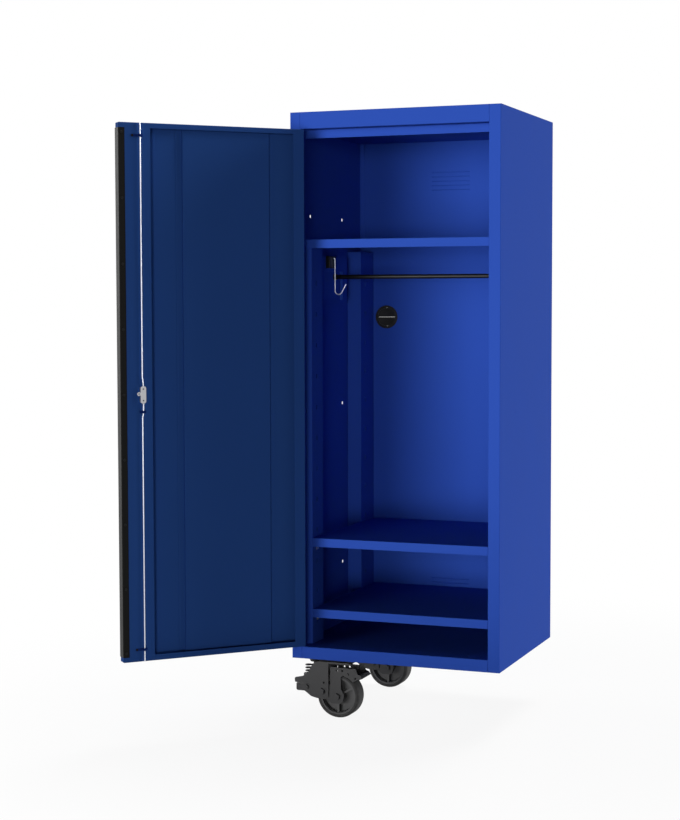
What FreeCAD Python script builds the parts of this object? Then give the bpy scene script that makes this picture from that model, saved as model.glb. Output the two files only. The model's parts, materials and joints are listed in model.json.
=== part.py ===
import FreeCAD, Part
import math
import os
from FreeCAD import Vector

# Side locker of a tool chest: a tall steel cabinet that bolts to a roller cabinet by one side
# and carries its outer side on two sprung swivel casters.  Millimetres.  The cabinet is built
# with X to the right, Y into its depth and Z up from the front left bottom corner of its body,
# and is then moved so that the middle of the right-hand bolt pattern is the origin.

# ---------------------------------------------------------------- body
CASE_W = 610.0            # over the two side panels
CASE_D = 556.0            # front face to the outside of the back panel
CASE_H = 1537.0           # underside of the base to the top
SHEET = 1.2               # panel gauge
BEND = 1.0                # inside radius of a fold
SEAT = 0.3                # gap between a piece and the piece it rests on
STILE_LEFT = 30.0         # face width of the hinge side of the front frame
STILE_RIGHT = 33.3        # face width of the lock side
HEADER = 47.0             # face height above the door opening
RAIL = 34.4               # face height below the door opening
REVEAL = 42.0             # depth of the returns round the door opening
LIP = 15.0                # flanges that stiffen the panel edges
CEILING_RISE = 3.0        # ceiling above the underside of the header
STOP_DROP = 23.0          # door stop below the underside of the header

# ---------------------------------------------------------------- bolt holes in both sides
BOLT_Y = (146.0, 398.0)
BOLT_Z = (221.0, 704.0, 1255.0)
BOLT_HOLE_R = 5.0

# ---------------------------------------------------------------- shelf posts
POST_W = 45.0             # from the side panel towards the middle
POST_DEPTH = 84.0         # front posts
REAR_POST_DEPTH = 112.0
FRONT_POST_Y = 45.0
POST_SLOT_PITCH = 88.0
POST_SLOT_COUNT = 12
POST_SLOT_W = 8.0
POST_SLOT_H = 13.0
POST_SLOT_Z = 94.0        # centre of the lowest slot
POST_SLOT_INSET = 37.0    # slots behind the front of a post

# ---------------------------------------------------------------- shelves
SHELF_FRONT_Y = 43.0
SHELF_LIP = 24.5
SHELF_SIDE_GAP = 1.0
TOP_SHELF_Z = 1185.0
MIDDLE_SHELF_Z = 339.0
LOWER_SHELF_Z = 136.0
CLIP_T = 1.5
CLIP_W = 14.0
CLIP_REACH = 12.0
CLIP_DROP = 12.0          # tab of a clip against the face of its post
CLIP_TAIL = 3.0           # part of a clip inside its post

# ---------------------------------------------------------------- hanger bar and coat hook
BAR_R = 6.35
BAR_Y = 278.0
BAR_Z = 1082.5
BRACKET_STAND = 30.0      # face of the bracket from the outside of the side panel
BRACKET_Y = (158.0, 366.0)
BRACKET_Z = (1015.0, 1142.0)
BRACKET_RECESS_Y = (198.0, 326.0)
BRACKET_RECESS_Z = 1098.0
BRACKET_RECESS = 8.0
CUP_R = 12.0
CUP_LENGTH = 16.0
CUP_FLANGE_T = 2.0
CUP_WALL = 2.0
HOOK_BASE = (12.5, 38.0, 36.0)
HOOK_BASE_Y = 195.0
HOOK_BASE_Z = 1103.0
HOOK_WIRE_R = 2.0
HOOK_BEND_R = 14.0
HOOK_BEND_Z = 1044.0
HOOK_SWEEP = 150.0        # angle of the hook's bend
HOOK_TIP = 30.0
HOOK_BASE_CORNER = 1.5
HOOK_SEAT_GAP = 2.0       # top of the shank below the middle of its base

# ---------------------------------------------------------------- back panel
GROMMET_X = 87.6
GROMMET_Z = 962.4
GROMMET_R = 30.0
GROMMET_FLANGE_R = 35.5
GROMMET_FLANGE_T = 2.0
GROMMET_WALL = 2.0
GROMMET_SLEEVE = 8.0      # behind the flange
GROMMET_CAP_T = 6.0
GROMMET_SLOT_W = 3.0
GROMMET_SLOT_END = 6.0    # from the end of the slot to the outside of the ring
LOUVRE_W = 124.0
LOUVRE_H = 6.0
LOUVRE_RISE = 5.0
LOUVRE_PITCH = 13.2
LOUVRE_X = 293.0
LOUVRE_SILL = 1.0         # sheet left above the mouth of a louvre
UPPER_LOUVRES = 5
LOWER_LOUVRES = 3
UPPER_LOUVRE_DROP = 160.0 # middle of the upper louvres below the top
LOWER_LOUVRE_Z = 150.0

# ---------------------------------------------------------------- door
OPEN_ANGLE = 133.8        # how far the door stands open
HINGE_GAP = 2.8           # between the stile and the door
LEAF_T = 1.2
PIN_R = 1.5
PIN_BORE_CLEARANCE = 0.05
KNUCKLE_R = 3.0
KNUCKLE_FRONT = 3.4       # pin in front of the face of the door
KNUCKLES = 24
KNUCKLE_GAP = 0.4
LEAF_DEPTH = 24.0
LEAF_FRONT = 0.5          # front edge of a leaf behind the front face
DOOR_T = 28.0
DOOR_SIDE_GAP = 6.8       # between the handle and the stile on the lock side
DOOR_TOP_GAP = 4.0
DOOR_FOOT_GAP = 6.8
DOOR_BEND = 2.2           # outside radius of the door's folds
HINGE_FLANGE = 33.0
TOP_FLANGE = 14.0
FOOT_FLANGE = 16.0
LATCH_CHANNEL_W = 88.0    # from the edge of the door to the channel's inner wall
STIFFENER_FROM_HINGE = 97.0
STIFFENER_W = 254.0
STIFFENER_RISE = 9.0
STIFFENER_FLANGE = 17.0

# ---------------------------------------------------------------- handle trim
HANDLE_T = 1.5
HANDLE_END_GAP = 14.0     # left bare at each end of the door
HANDLE_INNER_LIP = 17.5
HANDLE_FRONT = 19.0       # flat on the front of the door
PULL_RISE = 17.0
PULL_REACH = 20.0
PULL_CURL = 5.0
HANDLE_SCREWS = 9
HANDLE_SCREW_INSET = 11.5 # first screw from the end of the trim
SCREW_HEAD_R = 3.5
SCREW_HEAD_T = 2.0
SCREW_R = 2.0
HANDLE_BEND = 1.2         # inside radius of the extrusion's corners

# ---------------------------------------------------------------- latch
ROD_R = 3.2
ROD_FROM_EDGE = 56.6      # rod axis from the edge of the door
ROD_STAND = 5.5           # rod axis in front of the inner face of the door
ROD_END_SHY = 0.7         # retracted rod ends inside the ends of the door
ROD_HOLE_R = 5.0
MODULE = 0.75
PINION_TEETH = 12
PRESSURE_ANGLE = 25.0
ADDENDUM = 0.8            # in modules
DEDENDUM = 1.1            # in modules
BACKLASH = 0.2
LATCH_FROM_EDGE = 59.0    # pinion axis from the edge of the door
LATCH_Z = 763.0
LATCH_LENGTH = 46.0
LATCH_WALL = 1.0
LATCH_CHAMFER = 4.0
STRAP_T = 3.0
STRAP_SPACE = 0.5
STRAP_SIDE = 1.2
STRAP_END = 1.5
TONGUE_W = 5.0
TEETH_CLEARANCE = 0.35
LATCH_TURN = 180.0
SPINDLE_R = 3.0
SPINDLE_SQUARE = 3.4
PLUG_R = 8.0
PLUG_PROUD = 3.0          # face of the plug in front of the door
PLUG_LENGTH = 12.0
KEYWAY_W = 1.6
KEYWAY_H = 7.0
KEYWAY_DEPTH = 6.0
BARREL_R = 11.0
BARREL_LENGTH = 16.0
BARREL_PROUD = 2.0
BARREL_FLANGE = 2.0       # flange beyond the barrel
BARREL_END_T = 4.0
SPINDLE_ROOM = 1.0        # round the spindle where it passes the inner wall
GUIDE_T = 1.5
GUIDE_W = 6.5
GUIDE_TAB = 26.0          # tab towards the free edge, which takes the screw
GUIDE_HEEL = 6.0
GUIDE_BEND = 0.6
GUIDE_CLEARANCE = 0.3
GUIDE_FROM_TOP = 34.0     # upper guide from the top of the door
GUIDE_FROM_FOOT = 33.5    # lower guide from the foot of the door
GUIDE_BELOW_LATCH = 46.1
FIT = 0.06                # radial running clearance of turning pieces

# ---------------------------------------------------------------- casters
CASTER_X = 112.0          # swivel axis from the left side
FRONT_CASTER_Y = 75.0
REAR_CASTER_INSET = 58.0  # rear swivel axis from the outside of the back panel
CASTER_H = 175.0
WHEEL_R = 63.5
WHEEL_W = 50.0
TRAIL = 7.0
PLATE_X = 130.0
PLATE_Y = 104.0
PLATE_T = 6.0
PLATE_CORNER = 8.0
PLATE_BOLT_X = 104.0
PLATE_BOLT_Y = 84.0
PLATE_BOLT_R = 4.8
PLATE_HOLE_R = 5.3
PLATE_BOLT_HEAD = 15.0    # across its flats
PLATE_BOLT_HEAD_T = 6.0
PLATE_NUT_T = 7.0
PLATE_BOLT_END = 2.0      # thread that shows above the nut
RACE_R = 40.0
RACE_T = 7.0
KINGPIN_R = 8.0
KINGPIN_NUT = 22.0        # across its flats
KINGPIN_NUT_T = 8.0
WEB_T = 5.0
LEG_T = 4.0
LEG_GAP = 3.0             # wheel to the arm's legs
LEG_STEP = 0.4            # arm's legs to the yoke's cheeks
AXLE_R = 6.0
AXLE_HEAD = 17.0          # across its flats
EYE_HEAD = 12.0
BRAKE_PIN_HEAD = 8.0
HEAD_RATIO = 0.45         # thickness of a bolt head over its width
PIVOT = (-45.0, 13.0)     # from the wheel's axle
EYE = (-93.5, 22.0)       # spring bolt, from the wheel's axle
EYE_R = 4.0
BRAKE_PIVOT = (34.0, 66.0)
BRAKE_PIN_R = 3.0
BRAKE_T = 3.0
SPRING_WIRE_R = 2.2
SPRING_R = 13.0
SPRING_BEAD = 1.15        # bead where a hook is bent out of the coil, in wire thicknesses
SPRING_TURNS = 5
SPRING_LOW = 41.0         # lowest coil above the axle
SPRING_HIGH = 83.0
TONGUE_END = -90.3        # end of the yoke's tongue from the wheel's axle
TONGUE_T = 3.0
SPRING_HOOK = 3.3         # upper ring from the end of the tongue
TONGUE_HALF = 12.0
WEB_FRONT = 40.0          # front end of the yoke's web from the axle
CHEEK_FRONT = -24.5
CHEEK_REAR = -64.0
TREAD_T = 10.0
TREAD_SHOULDER = 5.0
HUB_R = 17.0
FILLET = 2.0              # slope where hub and web meet
WHEEL_WEB = 12.0
WHEEL_DISH = 8.0          # between the web's edge and the outside of the rim
RIM_T = 5.0
RIBS = 3
RIB_T = 6.0
RIB_INSET = 4.0           # ribs below the faces of the wheel
RIB_END = 6.0             # ribs from the outside of the rim

# Outlines of the caster's plates: X and Z from the wheel's axle, and the corner's radius.
CHEEK_OUTLINE = (
    (-24.5, -4.0, 4.0), (-40.0, -9.0, 8.0), (-60.0, -7.0, 10.0), (-74.0, 12.0, 10.0),
    (-76.0, 32.0, 4.0), (-127.0, 34.0, 2.0), (-128.0, 47.0, 4.0), (-104.0, 52.0, 6.0),
    (-88.0, 62.0, 8.0), (-76.0, 84.0, 8.0),
)
CHEEK_TOP_R = 6.0
CHEEK_HOLE = (-38.0, 38.0)
ARM_OUTLINE = (
    (-124.5, 31.0, 2.0), (-124.5, 9.5, 5.0), (-99.0, 9.5, 10.0), (-79.0, -5.0, 10.0),
    (-62.0, -9.0, 8.0), (-26.0, -11.0, 10.0), (-17.0, -21.0, 14.0), (17.0, -21.0, 14.0),
    (22.0, 6.0, 8.0), (12.0, 22.0, 8.0), (12.0, 56.0, 5.0), (18.0, 63.0, 6.0), (28.0, 55.0, 9.0),
    (42.0, 60.0, 9.0), (45.0, 82.0, 4.0), (-20.0, 84.0, 2.0), (-20.0, 30.0, 6.0),
    (-70.0, 31.0, 2.0),
)
ARM_HOLES = ((0.0, 75.0), (16.0, 75.0))
LEVER_END = (-124.5, -119.0, 15.0, 31.0)     # plate across the lever's end: X and Z spans
LEVER_TIE = (-82.0, -76.0, 6.0, 30.0)        # plate between the legs behind the wheel
BRAKE_OUTLINE = (
    (26.0, 60.0, 6.0), (34.0, 57.0, 6.0), (44.0, 50.0, 1.0), (50.0, 45.0, 1.0), (56.0, 60.0, 3.0),
    (68.0, 52.0, 2.0), (79.0, 57.0, 2.0), (72.0, 66.0, 2.0), (64.0, 68.0, 2.0), (58.0, 84.0, 3.0),
    (46.0, 84.0, 3.0), (26.0, 73.0, 6.0),
)
PEDAL_OUTLINE = ((57.0, 63.0, 1.0), (68.0, 52.0, 1.0), (79.0, 57.0, 1.0), (72.0, 66.0, 1.0))
PAD_OUTLINE = ((43.0, 50.5, 1.0), (50.0, 44.5, 1.0), (57.0, 52.0, 2.0), (49.0, 59.0, 2.0))

# ---------------------------------------------------------------- sizes that follow
OPENING_TOP = CASE_H - HEADER
OPENING_RIGHT = CASE_W - STILE_RIGHT
PIN_X = STILE_LEFT + HINGE_GAP / 2
PIN_Y = -KNUCKLE_FRONT
DOOR_X0 = STILE_LEFT + HINGE_GAP
DOOR_X1 = OPENING_RIGHT - DOOR_SIDE_GAP - HANDLE_T
DOOR_Z0 = RAIL + DOOR_FOOT_GAP
DOOR_Z1 = OPENING_TOP - DOOR_TOP_GAP
CEILING_Z = OPENING_TOP + CEILING_RISE + SHEET
POST_TOP = TOP_SHELF_Z - SHELF_LIP - SEAT
ROD_X = DOOR_X1 - ROD_FROM_EDGE
ROD_Y = DOOR_T + ROD_STAND
LATCH_X = DOOR_X1 - LATCH_FROM_EDGE
PITCH_R = MODULE * PINION_TEETH / 2
ROD_THROW = PITCH_R * math.radians(LATCH_TURN)
AXLE_Z = WHEEL_R - CASTER_H
CASTER_Y = (FRONT_CASTER_Y, CASE_D - REAR_CASTER_INSET)
UPPER_LOUVRE_Z = CASE_H - UPPER_LOUVRE_DROP
GUIDE_Z = (DOOR_Z0 + GUIDE_FROM_FOOT, LATCH_Z - GUIDE_BELOW_LATCH, DOOR_Z1 - GUIDE_FROM_TOP)
BACK_Y = CASE_D - SHEET
BOLT_MIDDLE = Vector(CASE_W, sum(BOLT_Y) / 2, (BOLT_Z[0] + BOLT_Z[-1]) / 2)

UP = Vector(0, 0, 1)
ALONG_X = Vector(1, 0, 0)
ALONG_Y = Vector(0, 1, 0)


# ---------------------------------------------------------------- shape helpers
def box(x0, x1, y0, y1, z0, z1):
    """A block between two corners."""
    return Part.makeBox(x1 - x0, y1 - y0, z1 - z0, Vector(x0, y0, z0))


def rod(start, axis, radius, length):
    """A round bar that starts at a point and runs along an axis."""
    return Part.makeCylinder(radius, length, Vector(*start), axis)


def union(shapes):
    """One solid from shapes that touch or overlap."""
    joined = shapes[0]
    if len(shapes) > 1:
        joined = joined.fuse(shapes[1:])
    return joined.removeSplitter()


def group(shapes):
    """Separate solids that share one node."""
    return Part.makeCompound(shapes)


def in_plane(plane, a, b, c=0.0):
    """A point from two coordinates in a plane and one along its normal."""
    if plane == "xy":
        return Vector(a, b, c)
    if plane == "xz":
        return Vector(a, c, b)
    return Vector(c, a, b)


def normal_of(plane):
    """The direction in which a profile of the plane is extruded."""
    if plane == "xy":
        return UP
    if plane == "xz":
        return ALONG_Y
    return ALONG_X


def extruded(wire, plane, length):
    """A solid from a closed wire in a plane."""
    return Part.Face(wire).extrude(normal_of(plane) * length)


def prism(points, plane, start, length):
    """A straight-edged outline, extruded from a height in its plane's normal."""
    corners = [in_plane(plane, a, b, start) for a, b in points]
    return extruded(Part.makePolygon(corners + corners[:1]), plane, length)


def plate(corners, plane, start, length):
    """A plate from (a, b, radius) corners in a plane, extruded along its normal."""
    points = [in_plane(plane, a, b, start) for a, b, radius in corners]
    return extruded(rounded_wire(points, [radius for a, b, radius in corners]), plane, length)


def corner_arc(before, corner, after, radius):
    """The ends and the middle of the arc that rounds a corner."""
    back = (before - corner).normalize()
    ahead = (after - corner).normalize()
    half = back.getAngle(ahead) / 2
    reach = radius / math.tan(half)
    bisector = (back + ahead).normalize()
    middle = corner + bisector * (radius / math.sin(half) - radius)
    return corner + back * reach, middle, corner + ahead * reach


def rounded_wire(points, radii):
    """A closed wire through points, with each corner rounded by its own radius."""
    edges = []
    count = len(points)
    ends = []
    for i in range(count):
        if radii[i] > 0:
            ends.append(corner_arc(points[i - 1], points[i], points[(i + 1) % count], radii[i]))
        else:
            ends.append((points[i], None, points[i]))
    for i in range(count):
        start, middle, stop = ends[i]
        if middle is not None:
            edges.append(Part.Arc(start, middle, stop).toShape())
        following = ends[(i + 1) % count][0]
        if (following - stop).Length > 1e-6:
            edges.append(Part.LineSegment(stop, following).toShape())
    return Part.Wire(edges)


def folded(path, plane, start, length, gauge=SHEET, bend=BEND):
    """Sheet folded along a path of its middle line, extruded square to the plane."""
    flat = [Vector(a, b, 0) for a, b in path]
    left = []
    right = []
    left_radii = []
    right_radii = []
    for i, point in enumerate(flat):
        before = (point - flat[i - 1]).normalize() if i > 0 else None
        after = (flat[i + 1] - point).normalize() if i < len(flat) - 1 else None
        ahead = after if before is None else before
        side = Vector(-ahead.y, ahead.x, 0)
        if before is None or after is None:
            left.append(point + side * (gauge / 2))
            right.append(point - side * (gauge / 2))
            left_radii.append(0)
            right_radii.append(0)
            continue
        turn = math.atan2(before.cross(after).z, before.dot(after))
        shift = side + before * (-math.tan(turn / 2))
        left.append(point + shift * (gauge / 2))
        right.append(point - shift * (gauge / 2))
        left_radii.append(bend if turn > 0 else bend + gauge)
        right_radii.append(bend + gauge if turn > 0 else bend)
    outline = left + right[::-1]
    radii = left_radii + right_radii[::-1]
    placed = [in_plane(plane, p.x, p.y, start) for p in outline]
    return extruded(rounded_wire(placed, radii), plane, length)


def mirrored_x(shape, middle):
    """The same piece for the other side of a plane across X."""
    return shape.mirror(Vector(middle, 0, 0), ALONG_X)


def rounded_block(x0, x1, y0, y1, z0, z1, radius):
    """A block with every edge rounded."""
    block = box(x0, x1, y0, y1, z0, z1)
    return block.makeFillet(radius, block.Edges)


def hexagon_head(start, axis, across, thickness):
    """A hexagon nut or bolt head on an axis along Y or Z."""
    plane = "xz" if axis == ALONG_Y else "xy"
    radius = across / math.sqrt(3)
    turns = [math.radians(60 * k + 30) for k in range(6)]
    points = [(radius * math.cos(t), radius * math.sin(t)) for t in turns]
    head = prism(points, plane, 0, thickness)
    head.translate(Vector(*start))
    return head


# ---------------------------------------------------------------- body panels
def side_holes(x0, x1):
    """The bolt holes through a side panel."""
    places = [(y, z) for y in BOLT_Y for z in BOLT_Z]
    return [rod((x0, y, z), ALONG_X, BOLT_HOLE_R, x1 - x0) for y, z in places]


def side_profile(stile):
    """Plan of a side panel: stile, its return, the wall and the rear flange."""
    half = SHEET / 2
    return [
        (stile - LIP, REVEAL - half),
        (stile - half, REVEAL - half),
        (stile - half, half),
        (half, half),
        (half, BACK_Y - half),
        (LIP, BACK_Y - half),
    ]


def side_panel(stile):
    """A left-hand side panel, notched where the top and the base lie over its folds."""
    wall = folded(side_profile(stile), "xy", 0, CASE_H)
    low = box(SHEET, stile + 1, -1, BACK_Y + 1, -1, SHEET)
    high = box(SHEET, stile + 1, -1, BACK_Y + 1, CASE_H - SHEET, CASE_H + 1)
    return wall.cut(side_holes(-1, SHEET + 1) + [low, high])


def side_panel_left():
    return side_panel(STILE_LEFT)


def side_panel_right():
    return mirrored_x(side_panel(STILE_RIGHT), CASE_W / 2)


def between_sides(path):
    """A folded panel that spans the two side panels."""
    return folded(path, "yz", SHEET, CASE_W - 2 * SHEET)


def stile_room(z0, z1):
    """The space that the two stiles and their returns take at the ends of a panel."""
    left = box(0, STILE_LEFT, -1, REVEAL, z0, z1)
    right = box(OPENING_RIGHT, CASE_W, -1, REVEAL, z0, z1)
    return [left, right]


def top_panel():
    half = SHEET / 2
    path = [
        (REVEAL, OPENING_TOP + half),
        (half, OPENING_TOP + half),
        (half, CASE_H - half),
        (BACK_Y, CASE_H - half),
    ]
    panel = between_sides(path)
    rod_hole = rod((ROD_X, ROD_Y, OPENING_TOP - 1), UP, ROD_HOLE_R, SHEET + 2)
    return panel.cut(stile_room(OPENING_TOP - 1, CASE_H - SHEET) + [rod_hole])


def base_pan():
    half = SHEET / 2
    path = [
        (REVEAL, RAIL - half),
        (half, RAIL - half),
        (half, half),
        (BACK_Y, half),
    ]
    pan = between_sides(path)
    cuts = stile_room(SHEET, RAIL + 1)
    cuts.append(rod((ROD_X, ROD_Y, RAIL - SHEET - 1), UP, ROD_HOLE_R, SHEET + 2))
    for y in CASTER_Y:
        cuts += [rod((px, py, -1), UP, PLATE_HOLE_R, SHEET + 2) for px, py in plate_bolts(y)]
    return pan.cut(cuts)


def floor_panel():
    half = SHEET / 2
    path = [
        (REVEAL + half, LIP / 2),
        (REVEAL + half, RAIL - half),
        (BACK_Y - SHEET - BEND, RAIL - half),
    ]
    return between_sides(path)


def ceiling_panel():
    half = SHEET / 2
    path = [
        (REVEAL + half, OPENING_TOP - STOP_DROP),
        (REVEAL + half, CEILING_Z - half),
        (BACK_Y - SHEET - BEND, CEILING_Z - half),
    ]
    return between_sides(path)


def louvre(x, z):
    """A scoop pressed out of the back panel, and the slot under it."""
    low = z - LOUVRE_H
    outer = [(BACK_Y, low), (BACK_Y + LOUVRE_RISE, low), (CASE_D, z), (BACK_Y, z)]
    scoop = prism(outer, "yz", x - LOUVRE_W / 2, LOUVRE_W)
    sill = low + LOUVRE_SILL
    inner = [
        (BACK_Y - 1, sill),
        (CASE_D, sill),
        (CASE_D, low - 1),
        (BACK_Y + LOUVRE_RISE - SHEET, low - 1),
        (BACK_Y + LOUVRE_RISE - SHEET, low),
        (BACK_Y, z - SHEET),
        (BACK_Y - 1, z - SHEET),
    ]
    hollow = prism(inner, "yz", x - LOUVRE_W / 2 + SHEET, LOUVRE_W - 2 * SHEET)
    return scoop, hollow


def back_panel():
    sheet = box(SHEET / 2, CASE_W - SHEET / 2, BACK_Y, CASE_D, SHEET / 2, CASE_H - SHEET / 2)
    scoops = []
    hollows = [rod((GROMMET_X, BACK_Y - 1, GROMMET_Z), ALONG_Y, GROMMET_R + SEAT, SHEET + 2)]
    for count, middle in ((UPPER_LOUVRES, UPPER_LOUVRE_Z), (LOWER_LOUVRES, LOWER_LOUVRE_Z)):
        for k in range(count):
            scoop, hollow = louvre(LOUVRE_X, middle + LOUVRE_PITCH * (k - (count - 1) / 2))
            scoops.append(scoop)
            hollows.append(hollow)
    return union([sheet] + scoops).cut(hollows)


def grommet_ring():
    """A flanged ring pressed into the back panel from inside."""
    start = BACK_Y - SEAT - GROMMET_FLANGE_T
    length = GROMMET_FLANGE_T + GROMMET_SLEEVE
    flange = rod((GROMMET_X, start, GROMMET_Z), ALONG_Y, GROMMET_FLANGE_R, GROMMET_FLANGE_T)
    sleeve = rod((GROMMET_X, start, GROMMET_Z), ALONG_Y, GROMMET_R, length)
    bore = rod((GROMMET_X, start - 1, GROMMET_Z), ALONG_Y, GROMMET_R - GROMMET_WALL, length + 2)
    return union([flange, sleeve]).cut(bore)


def grommet_cap():
    """The insert that closes the ring, split by a slot for cables."""
    start = BACK_Y - SEAT - GROMMET_FLANGE_T / 2
    radius = GROMMET_R - GROMMET_WALL - SEAT
    disc = rod((GROMMET_X, start, GROMMET_Z), ALONG_Y, radius, GROMMET_CAP_T)
    reach = GROMMET_R - GROMMET_SLOT_END
    slot = box(
        GROMMET_X - reach, GROMMET_X + reach, start - 1, start + GROMMET_CAP_T + 1,
        GROMMET_Z - GROMMET_SLOT_W / 2, GROMMET_Z + GROMMET_SLOT_W / 2,
    )
    return disc.cut(slot)


# ---------------------------------------------------------------- shelf posts and shelves
def slot_heights():
    return [POST_SLOT_Z + POST_SLOT_PITCH * k for k in range(POST_SLOT_COUNT)]


def shelf_post(y0, depth):
    """A left-hand post: flange on the wall, front, face with slots, rear, flange."""
    half = SHEET / 2
    wall = SHEET + half
    path = [
        (wall, y0 - half + LIP),
        (wall, y0 + half),
        (POST_W - half, y0 + half),
        (POST_W - half, y0 + depth - half),
        (wall, y0 + depth - half),
        (wall, y0 + depth - half - LIP),
    ]
    post = folded(path, "xy", RAIL, POST_TOP - RAIL)
    cuts = []
    for z in slot_heights():
        cuts.append(post_slot(y0, POST_SLOT_W, z - POST_SLOT_H / 2, z + POST_SLOT_H / 2))
    for shelf_z in (MIDDLE_SHELF_Z, LOWER_SHELF_Z):
        low = clip_top(shelf_z) - CLIP_T - SEAT
        cuts.append(post_slot(y0, CLIP_W + 2 * SEAT, low, low + CLIP_T + 2 * SEAT))
    return post.cut(cuts)


def post_slot(y0, width, low, high):
    """The room of one slot in the inner face of a post that starts at y0."""
    middle = y0 + POST_SLOT_INSET
    return box(POST_W - 2 * SHEET, POST_W + 1, middle - width / 2, middle + width / 2, low, high)


def rear_post_y():
    return BACK_Y - REAR_POST_DEPTH - SHEET - SEAT


def shelf(x0, x1, top):
    """A shelf pan: flat top with a flange turned down on all four sides."""
    y1 = BACK_Y - SHEET - SEAT
    outer = box(x0, x1, SHELF_FRONT_Y, y1, top - SHELF_LIP, top)
    edges = [e for e in outer.Edges if min(v.Z for v in e.Vertexes) > top - 1]
    outer = outer.makeFillet(BEND + SHEET / 2, edges)
    hollow = box(
        x0 + SHEET, x1 - SHEET, SHELF_FRONT_Y + SHEET, y1 - SHEET,
        top - SHELF_LIP - 1, top - SHEET,
    )
    return outer.cut(hollow)


def top_shelf():
    inside = SHEET + SHELF_SIDE_GAP
    return shelf(inside, CASE_W - inside, TOP_SHELF_Z)


def clip_top(shelf_z):
    """Height of the clips under a shelf."""
    return shelf_z - SHELF_LIP - SEAT


def adjustable_shelf(top):
    inside = POST_W + SHELF_SIDE_GAP
    return shelf(inside, CASE_W - inside, top)


def shelf_clip(y, top):
    """A left-hand clip: tail in the post, tread under the shelf, tab down the post's face."""
    y0 = y - CLIP_W / 2
    y1 = y + CLIP_W / 2
    face = POST_W + SEAT
    tread = box(POST_W - SHEET - CLIP_TAIL, face + CLIP_REACH, y0, y1, top - CLIP_T, top)
    tab = box(face, face + CLIP_T, y0, y1, top - CLIP_DROP, top)
    return union([tread, tab])


def shelf_clips():
    clips = []
    for shelf_z in (MIDDLE_SHELF_Z, LOWER_SHELF_Z):
        for y0 in (FRONT_POST_Y, rear_post_y()):
            clip = shelf_clip(y0 + POST_SLOT_INSET, clip_top(shelf_z))
            clips += [clip, mirrored_x(clip, CASE_W / 2)]
    return group(clips)


# ---------------------------------------------------------------- hanger bar and hook
def bar_bracket():
    """A left-hand stand-off plate with a recess for the end of the bar."""
    half = SHEET / 2
    y0, y1 = BRACKET_Y
    z0, z1 = BRACKET_Z
    wall = SHEET + half
    face = BRACKET_STAND - half
    path = [
        (wall, y0 - half + LIP),
        (wall, y0 + half),
        (face, y0 + half),
        (face, y1 - half),
        (wall, y1 - half),
        (wall, y1 - half - LIP),
    ]
    plate = folded(path, "xy", z0, z1 - z0)
    ry0, ry1 = BRACKET_RECESS_Y
    sunk = BRACKET_STAND - BRACKET_RECESS
    window = box(sunk, BRACKET_STAND + 1, ry0, ry1, z0 - 1, BRACKET_RECESS_Z)
    dish = box(sunk - SHEET, BRACKET_STAND, ry0 - SHEET, ry1 + SHEET, z0, BRACKET_RECESS_Z + SHEET)
    return union([plate.cut(window), dish.cut(window)])


def bar_cup():
    """The left-hand socket for the end of the bar, with its flange on the bracket."""
    face = BRACKET_STAND - BRACKET_RECESS + SEAT
    flange = rod((face, BAR_Y, BAR_Z), ALONG_X, CUP_R, CUP_FLANGE_T)
    barrel = rod((face, BAR_Y, BAR_Z), ALONG_X, BAR_R + CUP_WALL, CUP_LENGTH)
    bore = rod((face + CUP_FLANGE_T, BAR_Y, BAR_Z), ALONG_X, BAR_R + SEAT, CUP_LENGTH)
    return union([flange, barrel]).cut(bore)


def bar_cups():
    cup = bar_cup()
    return group([cup, mirrored_x(cup, CASE_W / 2)])


def hanger_bar():
    start = BRACKET_STAND - BRACKET_RECESS + SEAT + CUP_FLANGE_T + SEAT
    return rod((start, BAR_Y, BAR_Z), ALONG_X, BAR_R, CASE_W - 2 * start)


def hook_shank_x():
    """The hook hangs below the middle of its base."""
    return BRACKET_STAND + SEAT + HOOK_BASE[0] / 2


def coat_hook_base():
    """The block on the bracket that carries the hook."""
    dx, dy, dz = HOOK_BASE
    x0 = BRACKET_STAND + SEAT
    block = rounded_block(x0, x0 + dx, HOOK_BASE_Y, HOOK_BASE_Y + dy,
                          HOOK_BASE_Z, HOOK_BASE_Z + dz, HOOK_BASE_CORNER)
    socket = rod((hook_shank_x(), HOOK_BASE_Y + dy / 2, HOOK_BASE_Z - 1), UP,
                 HOOK_WIRE_R + SEAT, dz / 2)
    return block.cut(socket)


def coat_hook():
    """A bent wire: shank down, half turn, and up to an open tip."""
    x = hook_shank_x()
    y = HOOK_BASE_Y + HOOK_BASE[1] / 2
    top = Vector(x, y, HOOK_BASE_Z + HOOK_BASE[2] / 2 - HOOK_SEAT_GAP)
    low = Vector(x, y, HOOK_BEND_Z)
    sweep = math.radians(HOOK_SWEEP)
    centre = low + ALONG_X * HOOK_BEND_R

    def on_bend(angle):
        return centre + Vector(-math.cos(angle), 0, -math.sin(angle)) * HOOK_BEND_R

    end = on_bend(sweep)
    away = Vector(math.sin(sweep), 0, -math.cos(sweep))
    path = Part.Wire([
        Part.LineSegment(top, low).toShape(),
        Part.Arc(low, on_bend(sweep / 2), end).toShape(),
        Part.LineSegment(end, end + away * HOOK_TIP).toShape(),
    ])
    section = Part.Wire(Part.makeCircle(HOOK_WIRE_R, top, Vector(0, 0, -1)))
    return path.makePipeShell([section], True, False)


# ---------------------------------------------------------------- hinge
def knuckle_span(k):
    """Ends of one knuckle along the pin."""
    pitch = (DOOR_Z1 - DOOR_Z0) / KNUCKLES
    low = DOOR_Z0 + pitch * k
    return low + KNUCKLE_GAP / 2, low + pitch - KNUCKLE_GAP / 2


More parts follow.
